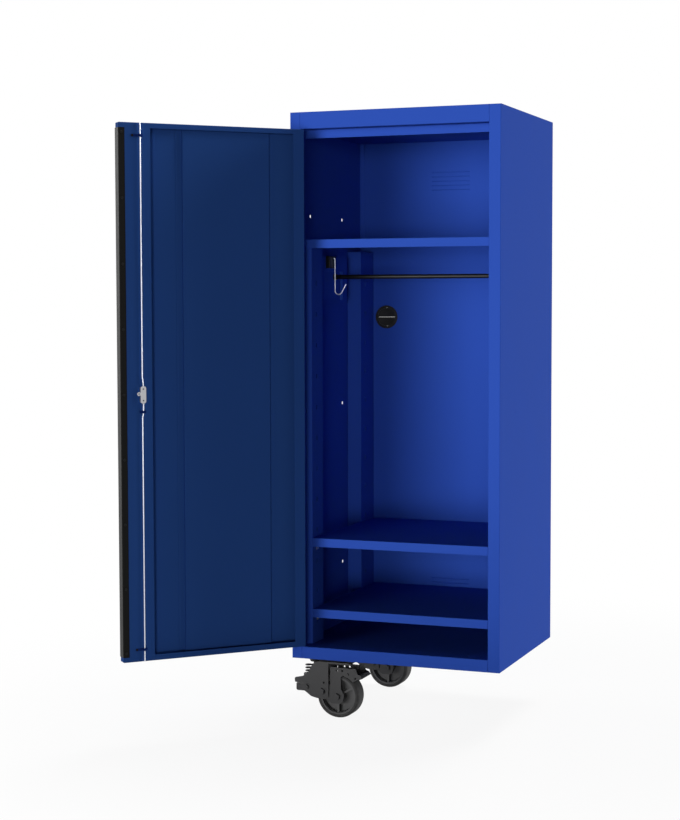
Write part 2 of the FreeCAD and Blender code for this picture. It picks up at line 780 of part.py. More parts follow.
def hinge_leaf(x0, x1, first):
    """A leaf with every other knuckle rolled round the pin."""
    pieces = [box(x0, x1, LEAF_FRONT, LEAF_DEPTH, DOOR_Z0, DOOR_Z1)]
    for k in range(first, KNUCKLES, 2):
        low, high = knuckle_span(k)
        pieces.append(rod((PIN_X, PIN_Y, low), UP, KNUCKLE_R, high - low))
        pieces.append(box(x0, x1, PIN_Y, LEAF_FRONT, low, high))
    bore = rod((PIN_X, PIN_Y, DOOR_Z0 - 1), UP, PIN_R + PIN_BORE_CLEARANCE, DOOR_Z1 - DOOR_Z0 + 2)
    return union(pieces).cut(bore)


def hinge_leaf_cabinet():
    return hinge_leaf(STILE_LEFT, STILE_LEFT + LEAF_T, 0)


def hinge_leaf_door():
    return hinge_leaf(DOOR_X0 - LEAF_T, DOOR_X0, 1)


def hinge_pin():
    return rod((PIN_X, PIN_Y, DOOR_Z0), UP, PIN_R, DOOR_Z1 - DOOR_Z0)


# ---------------------------------------------------------------- door
def door_tray():
    """The outer skin with its four sides and the flanges turned in round its back."""
    shell = rounded_block(DOOR_X0, DOOR_X1, 0, DOOR_T, DOOR_Z0, DOOR_Z1, DOOR_BEND)
    hollow = rounded_block(
        DOOR_X0 + SHEET, DOOR_X1 - SHEET, SHEET, DOOR_T - SHEET,
        DOOR_Z0 + SHEET, DOOR_Z1 - SHEET, DOOR_BEND - SHEET,
    )
    window = box(
        DOOR_X0 + HINGE_FLANGE, DOOR_X1 - LATCH_CHANNEL_W, DOOR_T / 2, DOOR_T + 1,
        DOOR_Z0 + FOOT_FLANGE, DOOR_Z1 - TOP_FLANGE,
    )
    barrel_hole = rod((LATCH_X, -1, LATCH_Z), ALONG_Y, BARREL_R + SEAT, SHEET + 2)
    spindle_hole = rod((LATCH_X, DOOR_T - SHEET - 1, LATCH_Z), ALONG_Y,
                       SPINDLE_R + SPINDLE_ROOM, SHEET + 2)
    return shell.cut([hollow, window, barrel_hole, spindle_hole])


def latch_channel():
    """The inner wall that closes the lock side of the door into a box."""
    half = SHEET / 2
    edge = DOOR_X1 - LATCH_CHANNEL_W
    path = [
        (edge + LIP, DOOR_T - SHEET - half),
        (edge + half, DOOR_T - SHEET - half),
        (edge + half, SHEET + half),
        (edge - LIP, SHEET + half),
    ]
    low = DOOR_Z0 + FOOT_FLANGE
    return folded(path, "xy", low, DOOR_Z1 - TOP_FLANGE - low)


def door_stiffener():
    """A wide hat that is spot-welded down the middle of the skin."""
    half = SHEET / 2
    x0 = DOOR_X0 + STIFFENER_FROM_HINGE
    x1 = x0 + STIFFENER_W
    path = [
        (x0 - STIFFENER_FLANGE, SHEET + half),
        (x0 + half, SHEET + half),
        (x0 + half, SHEET + STIFFENER_RISE - half),
        (x1 - half, SHEET + STIFFENER_RISE - half),
        (x1 - half, SHEET + half),
        (x1 + STIFFENER_FLANGE, SHEET + half),
    ]
    low = DOOR_Z0 + FOOT_FLANGE
    return folded(path, "xy", low, DOOR_Z1 - TOP_FLANGE - low)


def handle_trim():
    """An extrusion that wraps the door's edge and rises in a finger pull in front."""
    half = HANDLE_T / 2
    outer = DOOR_X1 + half
    inner_lip = DOOR_X1 + HANDLE_T - HANDLE_INNER_LIP
    root = DOOR_X1 - HANDLE_FRONT
    path = [
        (inner_lip, DOOR_T + half),
        (outer, DOOR_T + half),
        (outer, -half),
        (root, -half),
        (root, -PULL_RISE),
        (root - PULL_REACH, -PULL_RISE),
        (root - PULL_REACH, -PULL_RISE + PULL_CURL),
    ]
    low = DOOR_Z0 + HANDLE_END_GAP
    high = DOOR_Z1 - HANDLE_END_GAP
    trim = folded(path, "xy", low, high - low, HANDLE_T, HANDLE_BEND)
    holes = []
    for z in handle_screw_heights():
        holes.append(rod((handle_screw_x(), DOOR_T - 1, z), ALONG_Y, SCREW_R + SEAT, HANDLE_T + 2))
    return trim.cut(holes)


def handle_screw_x():
    return DOOR_X1 + HANDLE_T - HANDLE_INNER_LIP / 2


def handle_screw_heights():
    low = DOOR_Z0 + HANDLE_END_GAP + HANDLE_SCREW_INSET
    high = DOOR_Z1 - HANDLE_END_GAP - HANDLE_SCREW_INSET
    step = (high - low) / (HANDLE_SCREWS - 1)
    return [low + step * k for k in range(HANDLE_SCREWS)]


def handle_screws():
    """Pan-head screws through the trim's inner lip."""
    screws = []
    for z in handle_screw_heights():
        seat = DOOR_T + HANDLE_T
        head = rod((handle_screw_x(), seat, z), ALONG_Y, SCREW_HEAD_R, SCREW_HEAD_T)
        rim = [e for e in head.Edges if e.BoundBox.YMin > seat + SCREW_HEAD_T / 2]
        head = head.makeFillet(SCREW_HEAD_T / 2, rim[:1])
        shank = rod((handle_screw_x(), DOOR_T, z), ALONG_Y, SCREW_R, HANDLE_T)
        screws.append(union([head, shank]))
    return group(screws)


# ---------------------------------------------------------------- latch
def involute_point(base, t):
    """A point of the involute of a circle, turned so that it starts on the X axis."""
    return Vector(base * (math.cos(t) + t * math.sin(t)), base * (math.sin(t) - t * math.cos(t)), 0)


def pinion_outline():
    """Closed wire of the pinion in its own plane, one tooth centred on +X."""
    base = PITCH_R * math.cos(math.radians(PRESSURE_ANGLE))
    tip_r = PITCH_R + ADDENDUM * MODULE
    root_r = PITCH_R - DEDENDUM * MODULE
    half_tooth = math.pi / 2 / PINION_TEETH - BACKLASH / 4 / PITCH_R
    pitch_t = math.tan(math.radians(PRESSURE_ANGLE))
    offset = half_tooth + pitch_t - math.radians(PRESSURE_ANGLE)
    tip_t = math.sqrt((tip_r / base) ** 2 - 1)
    flank = [involute_point(base, tip_t * k / 3) for k in range(4)]
    step = 2 * math.pi / PINION_TEETH
    edges = []

    def placed(point, tooth, sign):
        """A flank point on one side of a tooth."""
        radius = math.hypot(point.x, point.y)
        angle = step * tooth + sign * (offset - math.atan2(point.y, point.x))
        return Vector(radius * math.cos(angle), radius * math.sin(angle), 0)

    for tooth in range(PINION_TEETH):
        rising = [placed(p, tooth, -1) for p in flank]
        falling = [placed(p, tooth, 1) for p in flank][::-1]
        foot = rising[0] * (root_r / rising[0].Length)
        end_foot = falling[-1] * (root_r / falling[-1].Length)
        corners = [foot] + rising + falling + [end_foot]
        edges += [Part.LineSegment(a, b).toShape() for a, b in zip(corners, corners[1:])]
        next_foot = placed(flank[0], tooth + 1, -1)
        next_foot = next_foot * (root_r / next_foot.Length)
        edges.append(Part.LineSegment(end_foot, next_foot).toShape())
    return Part.Wire(edges)


def strap_depths():
    """Where the straps of the upper and the lower rod start, from the skin."""
    first = DOOR_T + ROD_STAND - STRAP_T - STRAP_SPACE / 2
    return first, first + STRAP_T + STRAP_SPACE


def latch_pinion():
    """The gear between the two straps, on the square end of the lock's spindle."""
    front, rear = strap_depths()
    width = rear + STRAP_T - front
    wheel = Part.Face(pinion_outline()).extrude(UP * width)
    half = SPINDLE_SQUARE / 2 + FIT
    wheel = wheel.cut(box(-half, half, -half, half, -1, width + 1))
    wheel.rotate(Vector(0, 0, 0), ALONG_X, -90)
    wheel.translate(Vector(LATCH_X, front, LATCH_Z))
    return wheel


def lock_plug():
    """Key plug, spindle and the square that drives the pinion."""
    front, rear = strap_depths()
    face = rod((LATCH_X, -PLUG_PROUD, LATCH_Z), ALONG_Y, PLUG_R - FIT, PLUG_LENGTH)
    keyway = box(
        LATCH_X - KEYWAY_W / 2, LATCH_X + KEYWAY_W / 2, -PLUG_PROUD - 1, KEYWAY_DEPTH - PLUG_PROUD,
        LATCH_Z - KEYWAY_H / 2, LATCH_Z + KEYWAY_H / 2,
    )
    shaft = rod((LATCH_X, 0, LATCH_Z), ALONG_Y, SPINDLE_R, front - SEAT)
    half = SPINDLE_SQUARE / 2
    square = box(LATCH_X - half, LATCH_X + half, front - SPINDLE_R, rear + STRAP_T,
                 LATCH_Z - half, LATCH_Z + half)
    return union([face.cut(keyway), shaft, square])


def lock_barrel():
    """The fixed sleeve of the lock, seated in the skin by its flange."""
    face = (LATCH_X, -BARREL_PROUD, LATCH_Z)
    flange = rod(face, ALONG_Y, BARREL_R + BARREL_FLANGE, BARREL_PROUD)
    body = rod(face, ALONG_Y, BARREL_R, BARREL_LENGTH)
    bore = rod(face, ALONG_Y, PLUG_R, BARREL_LENGTH - BARREL_END_T)
    end_bore = rod((LATCH_X, 0, LATCH_Z), ALONG_Y, SPINDLE_R + FIT, BARREL_LENGTH)
    return union([flange, body]).cut([bore, end_bore])


def rack_root():
    """From the pinion's axis to the foot of the rack's teeth."""
    return PITCH_R + DEDENDUM * MODULE


def strap_half_width():
    """From the pinion's axis to the outside of a strap."""
    return rack_root() + STRAP_SIDE


def slot_reach():
    """From the middle of a strap's slot to its ends, which stop short of the pinion."""
    return PITCH_R + ADDENDUM * MODULE + TEETH_CLEARANCE + ROD_THROW / 2


def rack_teeth(low, high):
    """Rack teeth on the +X side of a pinion at the origin, between two heights."""
    pitch = math.pi * MODULE
    lean = math.tan(math.radians(PRESSURE_ANGLE))
    half_tooth = pitch / 4 - BACKLASH / 4
    tip = PITCH_R - ADDENDUM * MODULE
    wall = rack_root() + STRAP_SIDE / 2
    teeth = []
    first = math.ceil(low / pitch)
    last = math.floor(high / pitch)
    for k in range(first, last):
        middle = pitch * (k + 0.5)
        outline = [
            (tip, middle - half_tooth + (PITCH_R - tip) * lean),
            (wall, middle - half_tooth - (wall - PITCH_R) * lean),
            (wall, middle + half_tooth + (wall - PITCH_R) * lean),
            (tip, middle + half_tooth - (PITCH_R - tip) * lean),
        ]
        teeth.append(prism(outline, "xz", 0, STRAP_T))
    return teeth


def rack_strap(middle):
    """A slotted strap round a pinion at the origin, with its teeth on the +X side."""
    half = strap_half_width()
    reach = slot_reach()
    blank = box(-half, half, 0, STRAP_T, middle - reach - STRAP_END, middle + reach + STRAP_END)
    slot = box(-rack_root(), rack_root(), -1, STRAP_T + 1, middle - reach, middle + reach)
    return union([blank.cut(slot)] + rack_teeth(middle - reach, middle + reach))


def latch_rod(upper):
    """A strap and its rod: the upper strap waits low and the lower one waits high."""
    front, rear = strap_depths()
    sign = 1 if upper else -1
    depth = front if upper else rear
    strap = rack_strap(-ROD_THROW / 2)
    if not upper:
        strap.rotate(Vector(0, STRAP_T / 2, 0), ALONG_Y, 180)
    strap.translate(Vector(LATCH_X, depth, LATCH_Z))
    start = LATCH_Z + sign * (LATCH_LENGTH / 2 + SEAT)
    if upper:
        low, high = start, DOOR_Z1 - ROD_END_SHY
        neck_low, neck_high = LATCH_Z, start + ROD_R
    else:
        low, high = DOOR_Z0 + ROD_END_SHY, start
        neck_low, neck_high = start - ROD_R, LATCH_Z
    bar = rod((ROD_X, ROD_Y, low), UP, ROD_R, high - low)
    neck = box(ROD_X - TONGUE_W / 2, ROD_X + TONGUE_W / 2, depth, depth + STRAP_T,
               neck_low, neck_high)
    reach = slot_reach()
    middle = LATCH_Z - sign * ROD_THROW / 2
    slot = box(ROD_X - TONGUE_W, ROD_X + TONGUE_W, depth - 1, depth + STRAP_T + 1,
               middle - reach, middle + reach)
    return union([strap, neck.cut(slot), bar])


def latch_housing():
    """The cover over pinion and straps, open at both ends for the rods."""
    inner = strap_half_width() + SEAT
    outer = inner + LATCH_WALL
    y0 = DOOR_T
    y1 = strap_depths()[1] + STRAP_T + SEAT
    half = LATCH_LENGTH / 2
    cut = LATCH_CHAMFER
    outline = [
        (-outer, -half + cut), (-outer + cut, -half), (outer - cut, -half), (outer, -half + cut),
        (outer, half - cut), (outer - cut, half), (-outer + cut, half), (-outer, half - cut),
    ]
    cover = prism(outline, "xz", y0, y1 + LATCH_WALL - y0)
    hollow = box(-inner, inner, y0 - 1, y1, -half - 1, half + 1)
    cover = cover.cut(hollow)
    cover.translate(Vector(LATCH_X, 0, LATCH_Z))
    return cover


def rod_guide(z):
    """A saddle over a rod: a long tab to the free edge and a short heel."""
    half = GUIDE_T / 2
    reach = ROD_R + GUIDE_CLEARANCE + half
    crown = DOOR_T + ROD_STAND + reach
    path = [
        (ROD_X - reach - GUIDE_HEEL, DOOR_T + half),
        (ROD_X - reach, DOOR_T + half),
        (ROD_X - reach, crown),
        (ROD_X + reach, crown),
        (ROD_X + reach, DOOR_T + half),
        (ROD_X + reach + GUIDE_TAB, DOOR_T + half),
    ]
    return folded(path, "xy", z - GUIDE_W / 2, GUIDE_W, GUIDE_T, GUIDE_BEND)


def rod_guides():
    return group([rod_guide(z) for z in GUIDE_Z])


# ---------------------------------------------------------------- casters
def plate_bolts(y):
    """Places of the four bolts of the caster whose swivel axis has this Y."""
    return [
        (CASTER_X + i * PLATE_BOLT_X / 2, y + j * PLATE_BOLT_Y / 2)
        for i in (-1, 1) for j in (-1, 1)
    ]


def caster_plate(y):
    """Mounting plate with the fixed half of the swivel race."""
    half_x = PLATE_X / 2
    half_y = PLATE_Y / 2
    corners = [
        (CASTER_X + i * half_x, y + j * half_y, PLATE_CORNER)
        for i, j in ((-1, -1), (1, -1), (1, 1), (-1, 1))
    ]
    blank = plate(corners, "xy", -PLATE_T, PLATE_T)
    race = Part.makeCone(RACE_R - RACE_T / 2, RACE_R, RACE_T, Vector(CASTER_X, y, -PLATE_T - RACE_T))
    holes = [rod((px, py, -PLATE_T - 1), UP, PLATE_HOLE_R, PLATE_T + 2)
             for px, py in plate_bolts(y)]
    bore = rod((CASTER_X, y, -PLATE_T - RACE_T - 1), UP, KINGPIN_R, PLATE_T + RACE_T + 2)
    return union([blank, race]).cut(holes + [bore])


def caster_bolts():
    """Hexagon bolts that hold both plates to the base."""
    bolts = []
    for y in CASTER_Y:
        for px, py in plate_bolts(y):
            low = -PLATE_T - PLATE_BOLT_HEAD_T
            head = hexagon_head((px, py, low), UP, PLATE_BOLT_HEAD, PLATE_BOLT_HEAD_T)
            end = SHEET + PLATE_NUT_T + PLATE_BOLT_END
            shank = rod((px, py, -PLATE_T), UP, PLATE_BOLT_R, PLATE_T + end)
            nut = hexagon_head((px, py, SHEET), UP, PLATE_BOLT_HEAD, PLATE_NUT_T)
            bolts.append(union([head, shank, nut]))
    return group(bolts)


def yoke_top():
    """Top of the yoke's web, just under the race."""
    return -PLATE_T - RACE_T - SEAT


def leg_y():
    """Inside faces of the arm's legs from the middle of the wheel."""
    return WHEEL_W / 2 + LEG_GAP


def cheek_y():
    """Inside faces of the yoke's cheeks from the middle of the wheel."""
    return leg_y() + LEG_T + LEG_STEP


def axle_x():
    return CASTER_X + TRAIL


def caster_kingpin(y):
    """Bolt on which the yoke turns, with the nut that holds it up."""
    low = yoke_top() - WEB_T - SEAT
    nut_low = low - KINGPIN_NUT_T
    end = nut_low - SHEET
    pin = rod((CASTER_X, y, end), UP, KINGPIN_R - FIT, -end)
    nut = hexagon_head((CASTER_X, y, nut_low), UP, KINGPIN_NUT, KINGPIN_NUT_T)
    return union([pin, nut])


def from_axle(points):
    """Points given from the wheel's axle, in the cabinet's frame; a corner keeps its radius."""
    return [(axle_x() + p[0], AXLE_Z + p[1]) + tuple(p[2:]) for p in points]


def both_sides(outline, y, inner, thickness):
    """The same plate on both sides of the wheel."""
    return [
        plate(from_axle(outline), "xz", y + inner, thickness),
        plate(from_axle(outline), "xz", y - inner - thickness, thickness),
    ]


def cross_hole(centre, y, radius):
    """A hole right through the caster along its axle's direction."""
    x, z = from_axle([centre])[0]
    return rod((x, y - WHEEL_W, z), ALONG_Y, radius, 2 * WHEEL_W)


def caster_yoke(y):
    """Swivelling web, its two cheeks for the arm's pivot, and the tongue for the spring."""
    top = yoke_top()
    web = top - AXLE_Z
    cheek = ((CHEEK_FRONT, web, 0),) + CHEEK_OUTLINE + ((CHEEK_REAR, web, CHEEK_TOP_R),)
    span = cheek_y() + LEG_T
    x = axle_x()
    pieces = both_sides(cheek, y, cheek_y(), LEG_T)
    pieces.append(box(x + CHEEK_REAR, x + WEB_FRONT, y - span, y + span, top - WEB_T, top))
    hook_x = x + TONGUE_END + TONGUE_W * 2
    pieces.append(box(x + TONGUE_END, x + CHEEK_REAR + TONGUE_T, y - TONGUE_HALF, y + TONGUE_HALF,
                      top - TONGUE_T, top))
    cuts = [
        cross_hole(PIVOT, y, AXLE_R),
        cross_hole(CHEEK_HOLE, y, AXLE_R / 2),
        rod((CASTER_X, y, top - 2 * WEB_T), UP, KINGPIN_R, 3 * WEB_T),
        rod((hook_x, y, top - 2 * WEB_T), UP, SPRING_WIRE_R + 2 * SEAT, 3 * WEB_T),
    ]
    return union(pieces).cut(cuts)


def caster_arm(y):
    """Two side plates, joined across the lever's end, that carry the wheel and the brake."""
    inner = leg_y()
    pieces = both_sides(ARM_OUTLINE, y, inner, LEG_T)
    for x0, x1, z0, z1 in (LEVER_END, LEVER_TIE):
        pieces.append(box(axle_x() + x0, axle_x() + x1, y - inner, y + inner,
                          AXLE_Z + z0, AXLE_Z + z1))
    cuts = [
        cross_hole((0, 0), y, AXLE_R),
        cross_hole(PIVOT, y, AXLE_R),
        cross_hole(EYE, y, EYE_R),
        cross_hole(BRAKE_PIVOT, y, BRAKE_PIN_R),
    ]
    cuts += [cross_hole(place, y, AXLE_R / 2) for place in ARM_HOLES]
    return union(pieces).cut(cuts)


def cross_bolt(centre, y, radius, half_span, across):
    """A bolt across the caster with a head at the front and a nut behind."""
    x, z = from_axle([centre])[0]
    head = across * HEAD_RATIO
    shank = rod((x, y - half_span, z), ALONG_Y, radius, 2 * half_span)
    front = hexagon_head((x, y - half_span - head, z), ALONG_Y, across, head)
    rear = hexagon_head((x, y + half_span, z), ALONG_Y, across, head)
    return union([shank, front, rear])


def caster_pivot_bolts(y):
    """The two bolts in the yoke's cheeks on which the arm swings, clear of the wheel."""
    x, z = from_axle([PIVOT])[0]
    head = AXLE_HEAD * HEAD_RATIO
    outer = cheek_y() + LEG_T
    length = outer - leg_y()
    front = union([
        rod((x, y - outer, z), ALONG_Y, AXLE_R - FIT, length),
        hexagon_head((x, y - outer - head, z), ALONG_Y, AXLE_HEAD, head),
    ])
    rear = front.mirror(Vector(0, y, 0), ALONG_Y)
    return group([front, rear])


def caster_arm_bolts(y):
    """Axle bolt, spring bolt and brake pin, all carried by the arm."""
    outer = leg_y() + LEG_T
    return group([
        cross_bolt((0, 0), y, AXLE_R, outer, AXLE_HEAD),
        cross_bolt(EYE, y, EYE_R, outer, EYE_HEAD),
        cross_bolt(BRAKE_PIVOT, y, BRAKE_PIN_R, outer + LEG_STEP + BRAKE_T, BRAKE_PIN_HEAD),
    ])


def wire(start, end):
    """A straight piece of spring wire between two points, with a bead at its end."""
    run = end - start
    straight = Part.makeCylinder(SPRING_WIRE_R, run.Length, start, run)
    return union([straight, Part.makeSphere(SPRING_WIRE_R * SPRING_BEAD, end)])


def caster_spring(y):
    """Tension spring with a ring at each end: over the spring bolt and in the tongue's hole."""
    ring_r = EYE_R + SEAT + SPRING_WIRE_R
    eye = Vector(axle_x() + EYE[0], y, AXLE_Z + EYE[1])
    hook = Vector(axle_x() + TONGUE_END + SPRING_HOOK, y, yoke_top() - TONGUE_T / 2)
    height = SPRING_HIGH - SPRING_LOW
    coil = Part.makeHelix(height / SPRING_TURNS, height, SPRING_R)
    section = Part.Wire(Part.makeCircle(SPRING_WIRE_R, Vector(SPRING_R, 0, 0), ALONG_Y))
    spring = Part.Wire(coil).makePipeShell([section], True, True)
    base = Vector(eye.x, y, AXLE_Z + SPRING_LOW)
    spring.translate(base)
    low_end = base + ALONG_X * SPRING_R
    high_end = low_end + UP * height
    slope = Vector(1, 0, 1).normalize() * ring_r
    rings = [Part.makeTorus(ring_r, SPRING_WIRE_R, p, ALONG_Y) for p in (eye, hook)]
    links = [wire(eye + slope, low_end), wire(hook + Vector(slope.x, 0, -slope.z), high_end)]
    return union([spring] + rings + links)


def caster_brake(y):
    """Side arms, the pedal across them and the pad above the tread."""
    inner = leg_y() + LEG_T + LEG_STEP
    span = inner + BRAKE_T
    pieces = both_sides(BRAKE_OUTLINE, y, inner, BRAKE_T)
    for outline in (PEDAL_OUTLINE, PAD_OUTLINE):
        pieces.append(plate(from_axle(outline), "xz", y - span, 2 * span))
    return union(pieces).cut(cross_hole(BRAKE_PIVOT, y, BRAKE_PIN_R + FIT))


def wheel_profile(points, y):
    """A ring turned about the wheel's axle from (radius, offset) points."""
    corners = [Vector(r, w, 0) for r, w in points]
    face = Part.Face(Part.makePolygon(corners + corners[:1]))
    ring = face.revolve(Vector(0, 0, 0), ALONG_Y, 360)
    ring.translate(Vector(axle_x(), y, AXLE_Z))
    return ring


def wheel_core(y):
    """Moulded centre: hub, web, rim and ribs on both faces."""
    half = WHEEL_W / 2
    web = WHEEL_WEB / 2
    rim = WHEEL_R - TREAD_T
    bore = AXLE_R + FIT
    dish = rim - WHEEL_DISH
    flange = rim - RIM_T
    side = half - SHEET
    foot = HUB_R + FILLET
    core = wheel_profile([
        (bore, -half), (HUB_R, -half), (foot, -web), (dish, -web), (flange, -side), (rim, -side),
        (rim, side), (flange, side), (dish, web), (foot, web), (HUB_R, half), (bore, half),
    ], y)
    ribs = []
    reach = half - RIB_INSET
    for k in range(RIBS):
        rib = box(-RIB_T / 2, RIB_T / 2, -reach, reach, -rim + RIB_END, -HUB_R + FILLET / 2)
        rib.rotate(Vector(0, 0, 0), ALONG_Y, 360 / RIBS * k)
        rib.translate(Vector(axle_x(), y, AXLE_Z))
        ribs.append(rib)
    return union([core] + ribs)


def wheel_tread(y):
    """Tyre with rounded shoulders, bonded to the core."""
    half = WHEEL_W / 2
    rim = WHEEL_R - TREAD_T
    wall = WHEEL_R - TREAD_SHOULDER
    turn_r, turn_w = WHEEL_R - TREAD_SHOULDER * 0.3, half - TREAD_SHOULDER * 0.6
    flat = half - TREAD_SHOULDER * 1.6
    return wheel_profile([
        (rim, -half), (wall, -half), (turn_r, -turn_w), (WHEEL_R, -flat),
        (WHEEL_R, flat), (turn_r, turn_w), (wall, half), (rim, half),
    ], y)


# ---------------------------------------------------------------- the nodes
def cabinet_nodes():
    front = shelf_post(FRONT_POST_Y, POST_DEPTH)
    rear = shelf_post(rear_post_y(), REAR_POST_DEPTH)
    bracket = bar_bracket()
    return {
        "side_panel_left": side_panel_left(),
        "side_panel_right": side_panel_right(),
        "top_panel": top_panel(),
        "base_pan": base_pan(),
        "floor_panel": floor_panel(),
        "ceiling_panel": ceiling_panel(),
        "back_panel": back_panel(),
        "post_front_left": front,
        "post_rear_left": rear,
        "post_front_right": mirrored_x(front, CASE_W / 2),
        "post_rear_right": mirrored_x(rear, CASE_W / 2),
        "top_shelf": top_shelf(),
        "middle_shelf": adjustable_shelf(MIDDLE_SHELF_Z),
        "lower_shelf": adjustable_shelf(LOWER_SHELF_Z),
        "shelf_clips": shelf_clips(),
        "bar_bracket_left": bracket,
        "bar_bracket_right": mirrored_x(bracket, CASE_W / 2),
        "bar_cups": bar_cups(),
        "hanger_bar": hanger_bar(),
        "coat_hook_base": coat_hook_base(),
        "coat_hook": coat_hook(),
        "grommet_ring": grommet_ring(),
        "grommet_cap": grommet_cap(),
        "hinge_leaf_cabinet": hinge_leaf_cabinet(),
        "hinge_pin": hinge_pin(),
        "caster_bolts": caster_bolts(),
    }


def door_nodes():
    """Everything on the door, built shut and then swung open."""
    nodes = {
        "door_tray": door_tray(),
        "latch_channel": latch_channel(),
        "door_stiffener": door_stiffener(),
        "handle_trim": handle_trim(),
        "handle_screws": handle_screws(),
        "hinge_leaf_door": hinge_leaf_door(),
        "rod_guides": rod_guides(),
        "latch_housing": latch_housing(),
        "lock_barrel": lock_barrel(),
        "lock_plug": lock_plug(),
        "latch_pinion": latch_pinion(),
        "upper_rod": latch_rod(True),
        "lower_rod": latch_rod(False),
    }
    for shape in nodes.values():
        shape.rotate(Vector(PIN_X, PIN_Y, 0), UP, -OPEN_ANGLE)
    return nodes


def caster_nodes(name, y):
    return {
        name + "_caster_plate": caster_plate(y),
        name + "_caster_kingpin": caster_kingpin(y),
        name + "_caster_yoke": caster_yoke(y),
        name + "_caster_pivot_bolts": caster_pivot_bolts(y),
        name + "_caster_arm": caster_arm(y),
        name + "_caster_arm_bolts": caster_arm_bolts(y),
        name + "_caster_spring": caster_spring(y),
        name + "_caster_brake": caster_brake(y),
        name + "_wheel_core": wheel_core(y),
        name + "_wheel_tread": wheel_tread(y),
    }


def write(nodes):
    """One STEP file for each node, with the bolt pattern's middle at the origin."""
    os.makedirs("parts", exist_ok=True)
    for name, shape in nodes.items():
        shape.translate(-BOLT_MIDDLE)
        shape.exportStep(os.path.join("parts", name + ".step"))
        print(name, "solids", len(shape.Solids), "valid", shape.isValid())


write(cabinet_nodes())
write(door_nodes())
for caster_name, caster_y in zip(("front", "rear"), CASTER_Y):
    write(caster_nodes(caster_name, caster_y))
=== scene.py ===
import json
import math

import bmesh
import bpy
from mathutils import Matrix, Vector


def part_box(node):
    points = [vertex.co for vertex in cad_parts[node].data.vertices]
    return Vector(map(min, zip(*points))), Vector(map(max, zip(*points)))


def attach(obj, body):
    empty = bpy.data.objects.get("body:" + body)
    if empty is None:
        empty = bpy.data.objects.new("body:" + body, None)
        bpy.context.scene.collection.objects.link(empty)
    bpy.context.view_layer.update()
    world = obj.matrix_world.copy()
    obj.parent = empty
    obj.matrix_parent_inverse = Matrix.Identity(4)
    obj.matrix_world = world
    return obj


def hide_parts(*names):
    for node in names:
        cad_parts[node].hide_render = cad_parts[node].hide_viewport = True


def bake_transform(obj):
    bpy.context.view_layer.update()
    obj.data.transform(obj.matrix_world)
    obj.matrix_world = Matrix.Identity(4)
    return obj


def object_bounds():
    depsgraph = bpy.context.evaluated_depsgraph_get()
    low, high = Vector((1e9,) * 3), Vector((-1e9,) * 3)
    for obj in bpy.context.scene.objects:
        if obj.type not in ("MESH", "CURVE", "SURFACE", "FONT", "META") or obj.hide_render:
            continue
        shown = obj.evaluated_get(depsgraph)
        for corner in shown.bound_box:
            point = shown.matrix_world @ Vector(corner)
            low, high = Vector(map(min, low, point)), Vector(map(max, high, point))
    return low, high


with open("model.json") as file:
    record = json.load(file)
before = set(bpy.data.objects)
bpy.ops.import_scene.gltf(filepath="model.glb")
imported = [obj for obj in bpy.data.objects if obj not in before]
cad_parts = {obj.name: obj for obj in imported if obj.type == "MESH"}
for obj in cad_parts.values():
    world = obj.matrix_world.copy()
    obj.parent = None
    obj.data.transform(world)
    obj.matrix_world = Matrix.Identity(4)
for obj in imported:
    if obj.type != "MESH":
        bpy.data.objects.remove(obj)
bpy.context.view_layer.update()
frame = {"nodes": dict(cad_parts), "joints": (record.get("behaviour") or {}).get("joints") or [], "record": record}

bl_info = {
    "name": "Side Locker",
    "version": (1, 0, 0),
    "blender": (4, 5, 0),
    "location": "3D View > Sidebar > Side Locker",
    "description": "Paints and details a steel side locker on sprung casters, and sets its studio",
    "category": "Object",
}

MM = 0.001

# ------------------------------------------------------------ what the frame gives
SLOTS = {part["node"]: part["material_slot"] for part in frame["record"]["subparts"]}
HINGE = next(joint for joint in frame["joints"] if joint["name"] == "door_hinge")
DOOR_NODES = tuple(frame["record"]["behaviour"]["bodies"]["door"])
DOOR_OPEN = math.radians(133.8)     # the door stands this far open at rest
BACK_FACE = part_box("back_panel")[1].y - 1.2 * MM
CASE_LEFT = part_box("side_panel_left")[0].x
CASE_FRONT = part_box("side_panel_left")[0].y
CASE_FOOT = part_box("base_pan")[0].z
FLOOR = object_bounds()[0].z
ENDS = ("front", "rear")            # of the locker, each with a caster

# Closed-door coordinates, from the hinge pin: X to the free edge, Y into the cabinet, Z up.
DOOR_PLACE = Matrix.Translation(Vector((HINGE["pos_m"][0], HINGE["pos_m"][1], 0.0)))
DOOR_PLACE = DOOR_PLACE @ Matrix.Rotation(-DOOR_OPEN, 4, "Z")

# Cabinet coordinates: X from its left side, Y from its front, Z from its foot.
CABINET_PLACE = Matrix.Translation(Vector((CASE_LEFT, CASE_FRONT, CASE_FOOT)))

# Turns that point a piece's own Z out of a face.
INTO_CABINET = Matrix.Rotation(math.radians(-90), 4, "X")
OUT_OF_CABINET = Matrix.Rotation(math.radians(90), 4, "X")
OUT_OF_SIDE = Matrix.Rotation(math.radians(90), 4, "Y")


# ------------------------------------------------------------ sizes of the finishes' patterns
PAINT_CLOUD = 0.18
PEEL_TO_GRAIN = 2.6                 # the orange peel is this much coarser than the grain
METAL_LINE = 0.0011
METAL_CLOUD = 0.03
MOULD_CLOUD = 0.05
RUBBER_GRAIN = 0.0014
RUBBER_PATCH = 0.016
RUBBER_RELIEF = 0.00012
TREAD_EDGE = 1.2 * MM               # the dust starts this far inside the running face
FLOOR_PATCH = 0.35
WHITE = (1.0, 1.0, 1.0, 1.0)

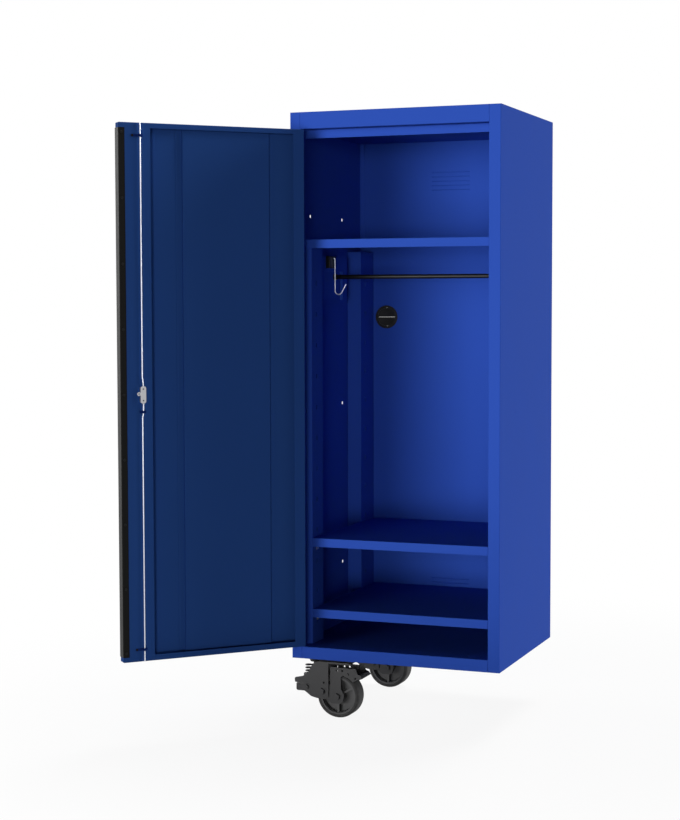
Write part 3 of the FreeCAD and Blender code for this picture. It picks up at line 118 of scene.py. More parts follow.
# What the coats of one kind share.
SHEET_COAT = {"swing": 0.05, "relief": 0.00010, "shine": 0.004}
CASTER_COAT = {"grain": 0.0009, "swing": 0.08, "roughness": 0.50, "relief": 0.00008}
BRIGHT_METAL = {"along": (1.0, 1.0, 0.04), "swing": 0.05, "relief": 0.00002, "metal": 0.85,
                "shine": 0.5}


# ------------------------------------------------------------ shader sums
class Tone:
    """A shader socket that takes part in sums, so that a pattern reads as a formula."""

    def __init__(self, tree, socket):
        self.tree = tree
        self.socket = socket

    def sum_with(self, operation, first, second):
        return add_node(self.tree, "ShaderNodeMath", {"operation": operation},
                        {0: first, 1: second})

    def __add__(self, other):
        return self.sum_with("ADD", self, other)

    def __radd__(self, other):
        return self.sum_with("ADD", other, self)

    def __sub__(self, other):
        return self.sum_with("SUBTRACT", self, other)

    def __rsub__(self, other):
        return self.sum_with("SUBTRACT", other, self)

    def __mul__(self, other):
        return self.sum_with("MULTIPLY", self, other)

    def __rmul__(self, other):
        return self.sum_with("MULTIPLY", other, self)

    def most(self, other):
        return self.sum_with("MAXIMUM", self, other)

    def between(self, low, high):
        """Climbs smoothly from 0 to 1 between two values."""
        return add_node(self.tree, "ShaderNodeMapRange", {"interpolation_type": "SMOOTHSTEP"},
                        {0: self, 1: low, 2: high, 3: 0.0, 4: 1.0})


def add_node(tree, kind, settings, sockets, output=0):
    """Adds a node: its settings first, then the values or links of its sockets."""
    made = tree.nodes.new(kind)
    for name, value in settings.items():
        setattr(made, name, value)
    for key, value in sockets.items():
        if isinstance(value, Tone):
            tree.links.new(value.socket, made.inputs[key])
        else:
            made.inputs[key].default_value = value
    return Tone(tree, made.outputs[output])


def blend_colours(tree, share, first, second):
    """A colour that goes from the first to the second as share goes from 0 to 1."""
    return add_node(tree, "ShaderNodeMix", {"data_type": "RGBA"},
                    {0: share, 6: first, 7: second}, 2)


def on_object(tree):
    """The object's own coordinates, in metres."""
    return add_node(tree, "ShaderNodeTexCoord", {}, {}, 3)


def stretched(tree, place, scale):
    """Coordinates drawn out along an axis, for brushed and drawn metal."""
    return add_node(tree, "ShaderNodeMapping", {"vector_type": "POINT"}, {0: place, 3: scale})


def speckle(tree, place, size, detail=2.0):
    """Cloudy spots of about the given size, 0 to 1."""
    return add_node(tree, "ShaderNodeTexNoise", {}, {0: place, 2: 1.0 / size, 3: detail, 4: 0.55})


def new_material(name):
    material = bpy.data.materials.new(name)
    material.use_nodes = True
    material.node_tree.nodes.clear()
    return material, material.node_tree


def close_material(tree, colour, roughness, height, relief, constants):
    """Joins colour, roughness and height to the surface shader and that to the output."""
    bumped = add_node(tree, "ShaderNodeBump", {},
                      {"Strength": 1.0, "Distance": relief, "Height": height})
    sockets = {"Base Color": colour, "Roughness": roughness, "Normal": bumped}
    sockets.update(constants)
    skin = add_node(tree, "ShaderNodeBsdfPrincipled", {}, sockets)
    add_node_output(tree, skin)


def add_node_output(tree, skin, kind="ShaderNodeOutputMaterial"):
    out = tree.nodes.new(kind)
    tree.links.new(skin.socket, out.inputs["Surface"])


def opaque(colour):
    return (colour[0], colour[1], colour[2], 1.0)


def shaded(colour, factor):
    """A colour made lighter or darker."""
    return tuple(part * factor for part in colour)


# ------------------------------------------------------------ finishes
def powder_coat(name, colour, grain, swing, roughness, relief, shine):
    """Baked powder paint: even colour with a fine grain and orange peel."""
    material, tree = new_material(name)
    place = on_object(tree)
    cloud = speckle(tree, place, PAINT_CLOUD)
    fine = speckle(tree, place, grain)
    peel = speckle(tree, place, grain * PEEL_TO_GRAIN, 3.0)
    share = cloud * 0.45 + fine * 0.55
    tint = blend_colours(tree, share, opaque(shaded(colour, 1.0 - swing)),
                         opaque(shaded(colour, 1.0 + swing)))
    rough = fine * 0.12 + cloud * 0.06 + (roughness - 0.09)
    close_material(tree, tint, rough, peel * 0.7 + fine * 0.3, relief,
                   {"Specular IOR Level": shine})
    return material


def drawn_metal(name, colour, along, swing, roughness, relief, metal, shine):
    """Metal with fine lines drawn along one axis and a faint cloud of age."""
    material, tree = new_material(name)
    place = on_object(tree)
    lines = speckle(tree, stretched(tree, place, along), METAL_LINE, 3.0)
    cloud = speckle(tree, place, METAL_CLOUD)
    share = lines * 0.6 + cloud * 0.4
    tint = blend_colours(tree, share, opaque(shaded(colour, 1.0 - swing)),
                         opaque(shaded(colour, 1.0 + swing)))
    rough = lines * 0.16 + cloud * 0.08 + (roughness - 0.12)
    close_material(tree, tint, rough, lines, relief,
                   {"Metallic": metal, "Specular IOR Level": shine})
    return material


def moulded(name, colour, grain, swing, roughness, relief, shine):
    """Moulded plastic with an eroded grain and slightly polished high spots."""
    material, tree = new_material(name)
    place = on_object(tree)
    fine = speckle(tree, place, grain, 4.0)
    pores = fine.between(0.42, 0.62)
    cloud = speckle(tree, place, MOULD_CLOUD)
    tint = blend_colours(tree, pores * 0.5 + cloud * 0.5, opaque(shaded(colour, 1.0 - swing)),
                         opaque(shaded(colour, 1.0 + swing)))
    rough = (1.0 - pores) * 0.12 + cloud * 0.06 + (roughness - 0.09)
    close_material(tree, tint, rough, pores, relief, {"Specular IOR Level": shine})
    return material


def rolled_rubber(name, colour, dust, axle, radius):
    """Tread rubber, with the dust that a floor leaves on its running face."""
    material, tree = new_material(name)
    place = on_object(tree)
    centred = add_node(tree, "ShaderNodeMapping", {"vector_type": "POINT"},
                       {0: place, 1: (-axle.x, -axle.y, -axle.z), 3: (1.0, 0.0, 1.0)})
    spoke = add_node(tree, "ShaderNodeVectorMath", {"operation": "LENGTH"}, {0: centred}, 1)
    running = spoke.between(radius - TREAD_EDGE, radius)
    fine = speckle(tree, place, RUBBER_GRAIN, 3.0)
    patches = speckle(tree, place, RUBBER_PATCH).between(0.45, 0.75)
    worn = running * (patches * 0.5 + fine * 0.3)
    tint = blend_colours(tree, worn, opaque(colour), opaque(dust))
    close_material(tree, tint, fine * 0.1 + running * 0.12 + 0.55, fine, RUBBER_RELIEF,
                   {"Specular IOR Level": 0.25})
    return material


def give(nodes, material):
    """Puts one material on every slot of the named nodes."""
    for name in nodes:
        for slot in frame["nodes"][name].material_slots:
            slot.material = material


def nodes_with(slot):
    """The nodes whose finish is the named one."""
    return [name for name, held in SLOTS.items() if held == slot and name in frame["nodes"]]


# ------------------------------------------------------------ modelling
SMOOTH_UNDER = math.radians(35)     # edges flatter than this are shaded smooth
# Shares of a rod's step, aside and along, in its bend, its slant and its second bend.
STEP_SHARES = ((0.10, 0.15), (0.80, 0.70), (0.10, 0.15))


def deselect():
    bpy.ops.object.select_all(action="DESELECT")


def work_on(piece):
    """Makes a piece the only one selected."""
    deselect()
    piece.select_set(True)
    bpy.context.view_layer.objects.active = piece


def pick_faces(piece, wanted):
    """In edit mode, selects the faces whose middle and normal are wanted."""
    bpy.ops.mesh.select_mode(type="FACE")
    mesh = bmesh.from_edit_mesh(piece.data)
    for face in mesh.faces:
        face.select = wanted(face.calc_center_median(), face.normal)
    mesh.select_flush_mode()
    bmesh.update_edit_mesh(piece.data)


def faces_up(middle, normal):
    return normal.z > 0.9


def edit():
    """Goes into edit mode on the active piece."""
    bpy.ops.object.mode_set(mode="EDIT")


def leave_edit():
    bpy.ops.object.mode_set(mode="OBJECT")


def inset(width):
    """Draws a smaller copy of the selected faces inside them and selects it."""
    bpy.ops.mesh.inset(thickness=width)


def push(x, y, z):
    """Moves what is selected."""
    bpy.ops.transform.translate(value=(x, y, z))


def extrude(x, y, z):
    """Draws walls out from what is selected."""
    bpy.ops.mesh.extrude_region_move(TRANSFORM_OT_translate={"value": (x, y, z)})


def softened(piece, width):
    """Leaves edit mode, bevels the sharp edges of a piece and shades it smooth between them."""
    leave_edit()
    work_on(piece)
    bevel = piece.modifiers.new("edges", "BEVEL")
    bevel.width = width
    bevel.segments = 2
    bevel.limit_method = "ANGLE"
    bpy.ops.object.modifier_apply(modifier=bevel.name)
    bpy.ops.object.shade_smooth_by_angle(angle=SMOOTH_UNDER)
    return piece


def join_up(pieces, name):
    """Joins pieces into one and names it."""
    deselect()
    for piece in pieces:
        piece.select_set(True)
    bpy.context.view_layer.objects.active = pieces[0]
    if len(pieces) > 1:
        bpy.ops.object.join()
    whole = bpy.context.object
    whole.name = name
    whole.data.name = name
    return whole


def copy_to(piece, places, name):
    """Copies a piece modelled at the origin to its places and joins the copies."""
    copies = []
    for place in places:
        work_on(piece)
        bpy.ops.object.duplicate(linked=False)
        copy = bpy.context.object
        copy.matrix_world = place
        bpy.ops.object.transform_apply(location=True, rotation=True, scale=True)
        copies.append(copy)
    work_on(piece)
    bpy.ops.object.delete()
    return join_up(copies, name)


def hand_over(piece, body, material):
    """Gives a finished piece its body and the material with the given name."""
    piece.data.materials.clear()
    piece.data.materials.append(bpy.data.materials[material])
    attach(piece, body)


def start_round(sides, radius, depth, middle):
    """Starts a piece, in edit mode, from a cylinder along Z with its middle at a height."""
    deselect()
    bpy.ops.mesh.primitive_cylinder_add(vertices=sides, radius=radius, depth=depth,
                                        location=(0, 0, middle))
    bpy.ops.object.transform_apply(location=True)
    edit()
    return bpy.context.object


def start_block(size):
    """Starts a piece, in edit mode, from a block about the origin."""
    deselect()
    bpy.ops.mesh.primitive_cube_add(size=1.0)
    piece = bpy.context.object
    piece.scale = size
    bpy.ops.object.transform_apply(scale=True)
    edit()
    return piece


def screw_head(radius, height, recess):
    """A pan head with a round drive recess, its own Z out of the surface."""
    piece = start_round(28, radius, height, height / 2)
    pick_faces(piece, faces_up)
    inset(radius - recess * 1.25)
    push(0, 0, height * 0.22)
    inset(recess * 0.25)
    inset(recess * 0.12)
    push(0, 0, -height * 0.7)
    return softened(piece, radius * 0.09)


def sheet_plug(radius, thickness, rim, groove):
    """A pressed cap that closes a hole in a sheet, with a groove inside its rim."""
    piece = start_round(36, radius, thickness, thickness / 2)
    pick_faces(piece, faces_up)
    inset(rim)
    inset(groove)
    push(0, 0, -groove)
    inset(groove)
    push(0, 0, groove)
    return softened(piece, groove * 0.3)


def eyed_lug(radius, thickness, hole, neck):
    """A round ear with an eye through it, and a neck that runs back to what carries it."""
    piece = start_round(32, radius, thickness, thickness / 2)
    pick_faces(piece, lambda middle, normal: abs(normal.z) > 0.9)
    inset(radius - hole)
    bpy.ops.mesh.bridge_edge_loops()
    pick_faces(piece, lambda middle, normal: normal.x < -0.72 and middle.x < -radius * 0.6)
    extrude(-neck, 0, 0)
    return softened(piece, thickness * 0.14)


def block(size, edge):
    """A block about the origin with softened edges."""
    piece = start_block(size)
    return softened(piece, edge)


def mount_block(size, edge, border, sunk):
    """A cast block about the origin whose +X face is sunk inside a border."""
    piece = start_block(size)
    pick_faces(piece, lambda middle, normal: normal.x > 0.9)
    inset(border)
    inset(sunk)
    push(-sunk, 0, 0)
    return softened(piece, edge)


def drawn_rod(radius, way, straight, step, run):
    """A round rod that starts at the origin, steps aside and runs on, up (1) or down (-1)."""
    piece = start_round(24, radius, straight, way * straight / 2)
    pick_faces(piece, lambda middle, normal: normal.z * way > 0.9)
    for aside, along in STEP_SHARES:
        extrude(step[0] * aside, 0, way * step[1] * along)
    extrude(0, 0, way * run)
    return softened(piece, radius * 0.2)


def slotted_strap(width, thickness, length, rim):
    """A flat strap with a long slot through it."""
    piece = start_block((width, thickness, length))
    pick_faces(piece, lambda middle, normal: abs(normal.y) > 0.9)
    inset(rim)
    bpy.ops.mesh.bridge_edge_loops()
    return softened(piece, rim * 0.15)


def saddle(width, gauge, heel, half_span, rise, tab):
    """A strip folded over a rod, its own Z out of the sheet: heel, two walls, crown and tab."""
    deselect()
    bpy.ops.mesh.primitive_plane_add(size=1.0)
    piece = bpy.context.object
    piece.scale = (heel, width, 1.0)
    piece.location = (-half_span - heel / 2, 0, gauge / 2)
    bpy.ops.object.transform_apply(location=True, scale=True)
    edit()
    bpy.ops.mesh.select_mode(type="VERT")
    bpy.ops.mesh.select_all(action="DESELECT")
    mesh = bmesh.from_edit_mesh(piece.data)
    for corner in mesh.verts:
        corner.select = corner.co.x > -half_span - heel / 2
    mesh.select_flush_mode()
    bmesh.update_edit_mesh(piece.data)
    for move in ((0, 0, rise), (2 * half_span, 0, 0), (0, 0, -rise), (tab, 0, 0)):
        extrude(*move)
    bpy.ops.mesh.select_mode(type="FACE")
    leave_edit()
    thicken = piece.modifiers.new("gauge", "SOLIDIFY")
    thicken.thickness = gauge
    thicken.offset = 0.0
    thicken.use_even_offset = True
    bpy.ops.object.modifier_apply(modifier=thicken.name)
    return softened(piece, gauge * 0.3)


def bent_hook(radius, seat, top_bend, drop, bend, sweep, tip):
    """A wire that leaves its block along X, turns down, round, and up to an open tip."""
    deselect()
    bpy.ops.mesh.primitive_cylinder_add(vertices=20, radius=radius, depth=seat,
                                        location=(-seat / 2, 0, 0), rotation=(0, math.pi / 2, 0))
    piece = bpy.context.object
    bpy.ops.object.transform_apply(location=True, rotation=True)
    edit()
    pick_faces(piece, lambda middle, normal: normal.x > 0.9)
    bpy.ops.mesh.spin(steps=6, angle=math.pi / 2, center=(0, 0, -top_bend), axis=(0, -1, 0))
    extrude(0, 0, -drop)
    bpy.ops.mesh.spin(steps=14, angle=sweep, center=(top_bend + bend, 0, -top_bend - drop),
                      axis=(0, 1, 0))
    end = sweep - math.pi / 2
    extrude(tip * math.cos(end), 0, tip * math.sin(end))
    return softened(piece, radius * 0.35)


def bar_cup(radius, length, wall, flange):
    """A cup for the end of a bar, its own Z out of the bracket: flange, wall and socket."""
    piece = start_round(32, radius, flange, flange / 2)
    pick_faces(piece, faces_up)
    inset(wall * 0.5)
    extrude(0, 0, length - flange)
    inset(wall)
    extrude(0, 0, flange - length)
    return softened(piece, wall * 0.25)


def half_cap(radius, thickness, slot):
    """Half of a round cap, its own Z out of the wall, cut off beside the cable slot."""
    piece = start_round(48, radius, thickness, -thickness / 2)
    bpy.ops.mesh.select_all(action="SELECT")
    bpy.ops.mesh.bisect(plane_co=(0, slot / 2, 0), plane_no=(0, 1, 0), use_fill=True,
                        clear_inner=True)
    pick_faces(piece, faces_up)
    inset(radius * 0.08)
    push(0, 0, -thickness * 0.08)
    return softened(piece, thickness * 0.05)


def pressed_frame(width, height, rise, border):
    """A raised ridge round a rectangle, as a press tool leaves in a sheet."""
    deselect()
    bpy.ops.mesh.primitive_plane_add(size=1.0)
    piece = bpy.context.object
    piece.scale = (width, height, 1.0)
    bpy.ops.object.transform_apply(scale=True)
    edit()
    pick_faces(piece, faces_up)
    bpy.ops.mesh.bevel(offset=border * 0.8, segments=4, affect="VERTICES")
    bpy.ops.mesh.select_all(action="SELECT")
    inset(border * 0.35)
    push(0, 0, rise)
    inset(border * 0.3)
    inset(border * 0.35)
    push(0, 0, -rise)
    bpy.ops.mesh.delete(type="ONLY_FACE")
    leave_edit()
    bpy.ops.object.shade_smooth_by_angle(angle=math.radians(50))
    return piece


# ------------------------------------------------------------ places of the added pieces
LATCH_HALF = 7.8 * MM               # half the width of the latch cover
LATCH_FACE = 41.45 * MM             # face of the latch cover from the hinge pin, into the cabinet
LUG_OVERLAP = 1.4 * MM              # the lug starts this far inside the cover's side
LUG_DEPTH = 3.2 * MM                # and this far behind its face
LUG_RISE = 2.3 * MM                 # and this far above its middle
RIVET_X = 0.172                     # rivets of the back wall from the cabinet's left side
RIVET_RISE = (0.9457, 0.978)        # and above its foot
DOOR_SKIN = 31.4 * MM               # inner face of the door's channel from the hinge pin
# Line of the rod from the hinge pin and height above the foot, of the two guides that are
# screwed down near the ends of the door and of the short clip below the latch.
END_GUIDES = ((0.4793, 0.07475), (0.4793, 1.45205))
ROD_CLIP = (0.4768, 0.7169)
SPRING_WELD = 0.001 * MM            # loose corners this close are one
GUIDE_GAUGE = 1.5 * MM
GUIDE_HEEL = 6.0 * MM
GUIDE_TAB = 23.5 * MM
CLIP_TAB = 9.0 * MM
GUIDE_SCREW_AT = 20.5 * MM          # from the rod's line
ROD_DEPTH = 36.9 * MM               # rod line from the hinge pin, into the cabinet
ROD_ENTRY = 0.4768                  # where both rods enter the latch, from the hinge pin
ROD_STEP = 2.5 * MM                 # both rods then step towards the free edge
ROD_START = 21.5 * MM               # from the middle of the latch
STRAP_SIZE = (13.05 * MM, 3.0 * MM, 28.3 * MM)
STRAP_AWAY = 7.07 * MM              # the straps wait this far from the middle
STRAP_RIM = 1.2 * MM
NECK_EDGE = 0.3 * MM
GUIDE_SPACE = 0.3 * MM              # between a rod and the walls of its guide
# Rod, way it runs, depth of its strap, straight run at the latch, length of the step, far end.
RODS = (
    ("upper_rod", 1, 35.15 * MM, 5.0 * MM, 22.0 * MM, 1.48535),
    ("lower_rod", -1, 38.65 * MM, 28.5 * MM, 12.0 * MM, 0.04195),
)
HOOK_BLOCK = (12.5 * MM, 50.0 * MM, 35.0 * MM)
HOOK_BLOCK_AT = (36.55 * MM, 217.0 * MM, 1.1245)
HOOK_TOP = (43.1 * MM, 224.0 * MM, 1.136)
HOOK_SEAT = 8.0 * MM                # this much of the wire is inside the block
HOOK_TOP_BEND = 3.0 * MM
HOOK_LOWEST = 1.031                 # lowest point of the wire's line above the foot
HOOK_TIP = 27.5 * MM
BAR_SOCKETS = ((22.3 * MM, 90.0), (587.7 * MM, -90.0))    # from the left side, and turn
BAR_LINE = (0.278, 1.0825)          # from the front and above the foot
CAP_AT = (87.6 * MM, 0.5535, 0.9624)
CAP_RADIUS = 27.7 * MM
CAP_DEPTH = 6.0 * MM
PLUG_Y = (-0.126, 0.126)            # bolt holes of the right side from their pattern's middle
PLUG_Z = (-0.517, -0.034, 0.517)
PLUG_SUNK = 0.9 * MM                # foot of a cap below the face of the sheet
LOUVRE_MIDDLE = 0.293               # middle of the louvres from the left side
LOUVRE_FIELD_W = 0.160
LOUVRE_SUNK = 0.05 * MM             # foot of a ridge behind the face of the wall
# Name, middle above the foot of the cabinet, and height.
LOUVRE_FIELDS = (
    ("louvre_ridge_upper", 1.374, 0.084),
    ("louvre_ridge_lower", 0.147, 0.058),
)

# Name, azimuth and elevation of where the light comes from, its angular width, the share of
# full brightness that it gives a face turned straight to it, and whether a flag keeps it off
# the open door.
LAMPS = (
    ("key_softbox", -19.0, -3.0, 34.0, 0.82, True),
    ("front_softbox", 16.0, -2.0, 12.0, 0.20, False),
    ("right_softbox", 120.0, 12.0, 30.0, 0.64, False),
    ("left_softbox", -95.0, 15.0, 40.0, 0.50, False),
    ("rear_top_softbox", 165.0, 60.0, 24.0, 0.60, False),
)
# Nodes beside the door, and added pieces on it, that the flag covers as well.
FLAGGED = ("post_front_left", "hinge_leaf_cabinet", "hinge_pin")
DOOR_PIECES = ("upper_rod_drawn", "lower_rod_drawn", "folded_rod_guides", "guide_screws",
               "latch_cover_screws", "latch_lug")


# ------------------------------------------------------------ studio
FLOOR_SIZE = 5.2
FLOOR_WHITENS = (1.0, 2.4)          # from the middle of the floor
LAMP_DISTANCE = 6.0
FRAME_WIDTH = 36.0                  # of the camera, in millimetres
VIEW_DEPTH = 100.0


def seen_directly(tree):
    """1 for camera, mirror and glass rays, 0 for the light that surfaces pass on."""
    camera = add_node(tree, "ShaderNodeLightPath", {}, {}, 0)
    glossy = Tone(tree, camera.socket.node.outputs["Is Glossy Ray"])
    through = Tone(tree, camera.socket.node.outputs["Is Transmission Ray"])
    return camera.most(glossy).most(through)


def mixed(tree, share, first, second):
    return add_node(tree, "ShaderNodeMixShader", {}, {0: share, 1: first, 2: second})


def lay_floor(studio):
    """A wide floor: pale under the wheels with a soft shadow, white further off."""
    deselect()
    bpy.ops.mesh.primitive_plane_add(size=FLOOR_SIZE, location=(0, 0, FLOOR))
    floor = bpy.context.object
    bpy.ops.object.transform_apply(location=True)
    floor.name = "studio_floor"
    material, tree = new_material("pale_floor")
    place = on_object(tree)
    mottle = speckle(tree, place, FLOOR_PATCH)
    grey = blend_colours(tree, mottle, (0.80, 0.80, 0.80, 1.0), (0.84, 0.84, 0.84, 1.0))
    near = add_node(tree, "ShaderNodeBsdfDiffuse", {}, {"Color": grey})
    white = add_node(tree, "ShaderNodeEmission", {}, {"Color": WHITE, "Strength": 1.0})
    carpet = blend_colours(tree, mottle, (0.18, 0.18, 0.18, 1.0), (0.22, 0.22, 0.22, 1.0))
    dull = add_node(tree, "ShaderNodeBsdfDiffuse", {}, {"Color": carpet})
    reach = add_node(tree, "ShaderNodeVectorMath", {"operation": "LENGTH"}, {0: place}, 1)
    whitened = reach.between(*FLOOR_WHITENS) * (1.0 - studio.floor_glow) + studio.floor_glow
    shown = mixed(tree, whitened, near, white)
    add_node_output(tree, mixed(tree, seen_directly(tree), dull, shown))
    floor.data.materials.append(material)


def surround(context, studio):
    """White surroundings for the camera and for reflections, and a low even fill."""
    world = bpy.data.worlds.new("studio_surroundings")
    world.use_nodes = True
    tree = world.node_tree
    tree.nodes.clear()
    fill = add_node(tree, "ShaderNodeBackground", {}, {"Color": WHITE, "Strength": studio.fill})
    white = add_node(tree, "ShaderNodeBackground", {}, {"Color": WHITE, "Strength": 1.0})
    add_node_output(tree, mixed(tree, seen_directly(tree), fill, white), "ShaderNodeOutputWorld")
    context.scene.world = world


def flag_from_door(lamp):
    """Keeps a lamp off the door and the post beside it, as a flag on a stand does."""
    spared = bpy.data.collections.new("flagged_from_" + lamp.name)
    for name in DOOR_NODES + FLAGGED:
        spared.objects.link(frame["nodes"][name])
    for name in DOOR_PIECES:
        spared.objects.link(bpy.data.objects[name])
    lamp.light_linking.receiver_collection = spared
    for held in spared.collection_objects:
        held.light_linking.link_state = "EXCLUDE"


def hang_lamp(name, azimuth, elevation, spread, power):
    """A far soft light; azimuth 0 is straight in front of the cabinet, 90 on its right."""
    turn = math.radians(azimuth)
    climb = math.radians(elevation)
    level = math.cos(climb)
    towards = Vector((math.sin(turn) * level, -math.cos(turn) * level, math.sin(climb)))
    bpy.ops.object.light_add(type="SUN", location=towards * LAMP_DISTANCE)
    lamp = bpy.context.object
    lamp.name = name
    lamp.rotation_euler = towards.to_track_quat("Z", "Y").to_euler()
    lamp.data.energy = power * math.pi
    lamp.data.angle = math.radians(spread)
    return lamp


def stand_camera(context, studio):
    """The camera, with a little roll, looking at the open locker from its right."""
    bpy.ops.object.camera_add(location=studio.camera_place)
    camera = bpy.context.object
    yaw, pitch, roll = studio.camera_yaw, studio.camera_pitch, studio.camera_roll
    ahead = Vector((-math.sin(yaw) * math.cos(pitch), math.cos(yaw) * math.cos(pitch),
                    -math.sin(pitch)))
    level = Vector((math.cos(yaw), math.sin(yaw), 0.0))
    upward = level.cross(ahead)
    right = level * math.cos(roll) + upward * math.sin(roll)
    above = upward * math.cos(roll) - level * math.sin(roll)
    turn = Matrix((right, above, -ahead)).transposed()
    camera.rotation_euler = turn.to_euler()
    camera.data.lens = studio.lens
    camera.data.sensor_width = FRAME_WIDTH
    camera.data.sensor_fit = "AUTO"
    camera.data.clip_end = VIEW_DEPTH
    context.scene.camera = camera


# ------------------------------------------------------------ sizes and colours to change
def colour_field(name, description, default):
    return bpy.props.FloatVectorProperty(name=name, description=description, subtype="COLOR",
                                         size=3, min=0.0, max=1.0, default=default)


def length_field(name, description, default):
    return bpy.props.FloatProperty(name=name, description=description, unit="LENGTH",
                                   default=default)


def angle_field(name, description, degrees):
    return bpy.props.FloatProperty(name=name, description=description, subtype="ANGLE",
                                   default=math.radians(degrees))


class LockerPaint(bpy.types.PropertyGroup):
    """Paint of the cabinet, its door and its casters."""

    panel_blue: colour_field(
        "Panel blue", "Powder coat of the cabinet and its shelves", (0.0265, 0.0785, 0.430))
    # Painted shade: the cabinet's blue shifted greyer and less blue, as the door's inner face looks in shade
    door_shaded_blue: colour_field(
        "Door blue", "Powder coat of the door, a little greyer than the cabinet's",
        (0.0315, 0.1010, 0.375))
    # Painted shade: a darker copy of the panel blue, for rod guides that look dark in shade
    guide_shaded_blue: colour_field(
        "Guide blue", "Darker coat of the rod guides", (0.013, 0.038, 0.215))
    caster_grey: colour_field(
        "Caster grey", "Paint of the caster forks and arms", (0.055, 0.055, 0.057))
    # Painted shade: near-black for the caster plates, kingpins and bolts, which sit in the shade under the cabinet
    caster_shaded_black: colour_field(
        "Caster black", "Darker paint of the caster plates, kingpins and bolts",
        (0.010, 0.010, 0.011))
    grain: bpy.props.FloatProperty(
        name="Grain", description="Size of the grains in the powder coat",
        unit="LENGTH", min=0.0002, max=0.01, default=0.0011)
    gloss: bpy.props.FloatProperty(
        name="Roughness", description="Roughness of the powder coat",
        subtype="FACTOR", min=0.05, max=1.0, default=0.42)


class LockerHardware(bpy.types.PropertyGroup):
    """Metal, plastic and rubber pieces."""

    zinc: colour_field(
        "Zinc", "Plated latch and shelf clips", (0.47, 0.47, 0.49))
    rod_steel: colour_field(
        "Rod steel", "Drawn steel of the lock rods and the coat hook", (0.78, 0.81, 0.90))
    dark_bar: colour_field(
        "Hanger bar", "Blackened steel of the hanger bar, springs and screws",
        (0.009, 0.009, 0.010))
    anodised: colour_field(
        "Handle", "Black anodised pull along the free edge of the door", (0.004, 0.004, 0.004))
    plastic: colour_field(
        "Black plastic", "Cable grommet and cups of the hanger bar", (0.010, 0.010, 0.010))
    wheel: colour_field(
        "Wheel", "Moulded wheel centre", (0.110, 0.110, 0.112))
    tread: colour_field(
        "Tread", "Rubber of the wheels", (0.034, 0.034, 0.035))
    dust: colour_field(
        "Dust", "Floor dust on the running face of the tread", (0.085, 0.083, 0.080))


class LockerDetails(bpy.types.PropertyGroup):
    """Small pieces that are added to the sheet metal."""

    latch_from_pin: length_field(
        "Latch", "Middle of the latch from the hinge pin, along the door", 0.478)
    latch_rise: length_field(
        "Latch height", "Middle of the latch above the foot of the cabinet", 0.763)
    screw_pitch: length_field(
        "Latch screws", "Distance between the two screws of the latch cover", 0.031)
    lug_radius: length_field("Lug", "Radius of the ear beside the latch", 0.0052)
    stud_radius: length_field("Rivets", "Radius of the rivet heads in the back wall", 0.0021)
    rod_radius: length_field("Lock rods", "Radius of the two lock rods", 0.0019)
    guide_width: length_field("Rod guides", "Width of the strips folded over the rods", 0.007)
    hook_wire: length_field("Hook wire", "Radius of the coat hook's wire", 0.0015)
    hook_bend: length_field("Hook bend", "Radius of the coat hook's bend", 0.011)
    hook_sweep: angle_field("Hook sweep", "Angle of the coat hook's bend", 150)
    cup_radius: length_field("Bar cups", "Radius of the cups that hold the hanger bar", 0.0095)
    cable_slot: length_field("Cable slot", "Width of the slot in the grommet's cap", 0.0006)
    guide_screw_radius: length_field(
        "Guide screws", "Radius of the screw heads in the rod guides", 0.0033)
    plug_radius: length_field("Plugs", "Radius of the caps in the unused bolt holes", 0.0056)
    louvre_border: length_field(
        "Louvre border", "Width of the pressed ridge round the louvres", 0.008)


class LockerStudio(bpy.types.PropertyGroup):
    """Camera, lights and floor."""

    lens: bpy.props.FloatProperty(
        name="Lens", description="Focal length on a 36 mm frame",
        unit="CAMERA", default=77.21)
    camera_place: bpy.props.FloatVectorProperty(
        name="Camera", description="Where the camera stands",
        subtype="TRANSLATION", size=3, default=(1.30774, -4.83487, 0.27682))
    camera_yaw: angle_field("Yaw", "Turn of the camera to its left", 21.205)
    camera_pitch: angle_field("Pitch", "Tilt of the camera down", 3.579)
    camera_roll: angle_field("Roll", "Roll of the camera", -0.1425)
    fill: bpy.props.FloatProperty(
        name="Fill", description="Even light from all round",
        subtype="FACTOR", min=0.0, max=1.0, default=0.05)
    floor_glow: bpy.props.FloatProperty(
        name="Floor white", description="How far the floor is lifted to white for the camera",
        subtype="FACTOR", min=0.0, max=1.0, default=0.90)


# ------------------------------------------------------------ operators
class LOCKER_OT_paint_sheet(bpy.types.Operator):
    """Powder coat the cabinet and its shelves, and give the door and the rod guides copies of the coat with
    painted shade
    """

    bl_idname = "locker.paint_sheet"
    bl_label = "Paint the sheet metal"

    def execute(self, context):
        paint = context.scene.locker_paint
        coat = powder_coat("blue_powder_coat", paint.panel_blue, paint.grain,
                           roughness=paint.gloss, **SHEET_COAT)
        give(nodes_with("blue_paint"), coat)
        # Painted shade: the door gets a greyer copy of the cabinet's coat that stands in for how its inner face
        # looks in shade
        door = powder_coat("door_shaded_coat", paint.door_shaded_blue, paint.grain,
                           roughness=paint.gloss, **SHEET_COAT)
        give([name for name in nodes_with("blue_paint") if name in DOOR_NODES], door)
        # Painted shade: the rod guides get a darker copy of the coat
        powder_coat("guide_shaded_coat", paint.guide_shaded_blue, paint.grain, roughness=paint.gloss,
                    **SHEET_COAT)
        return {"FINISHED"}


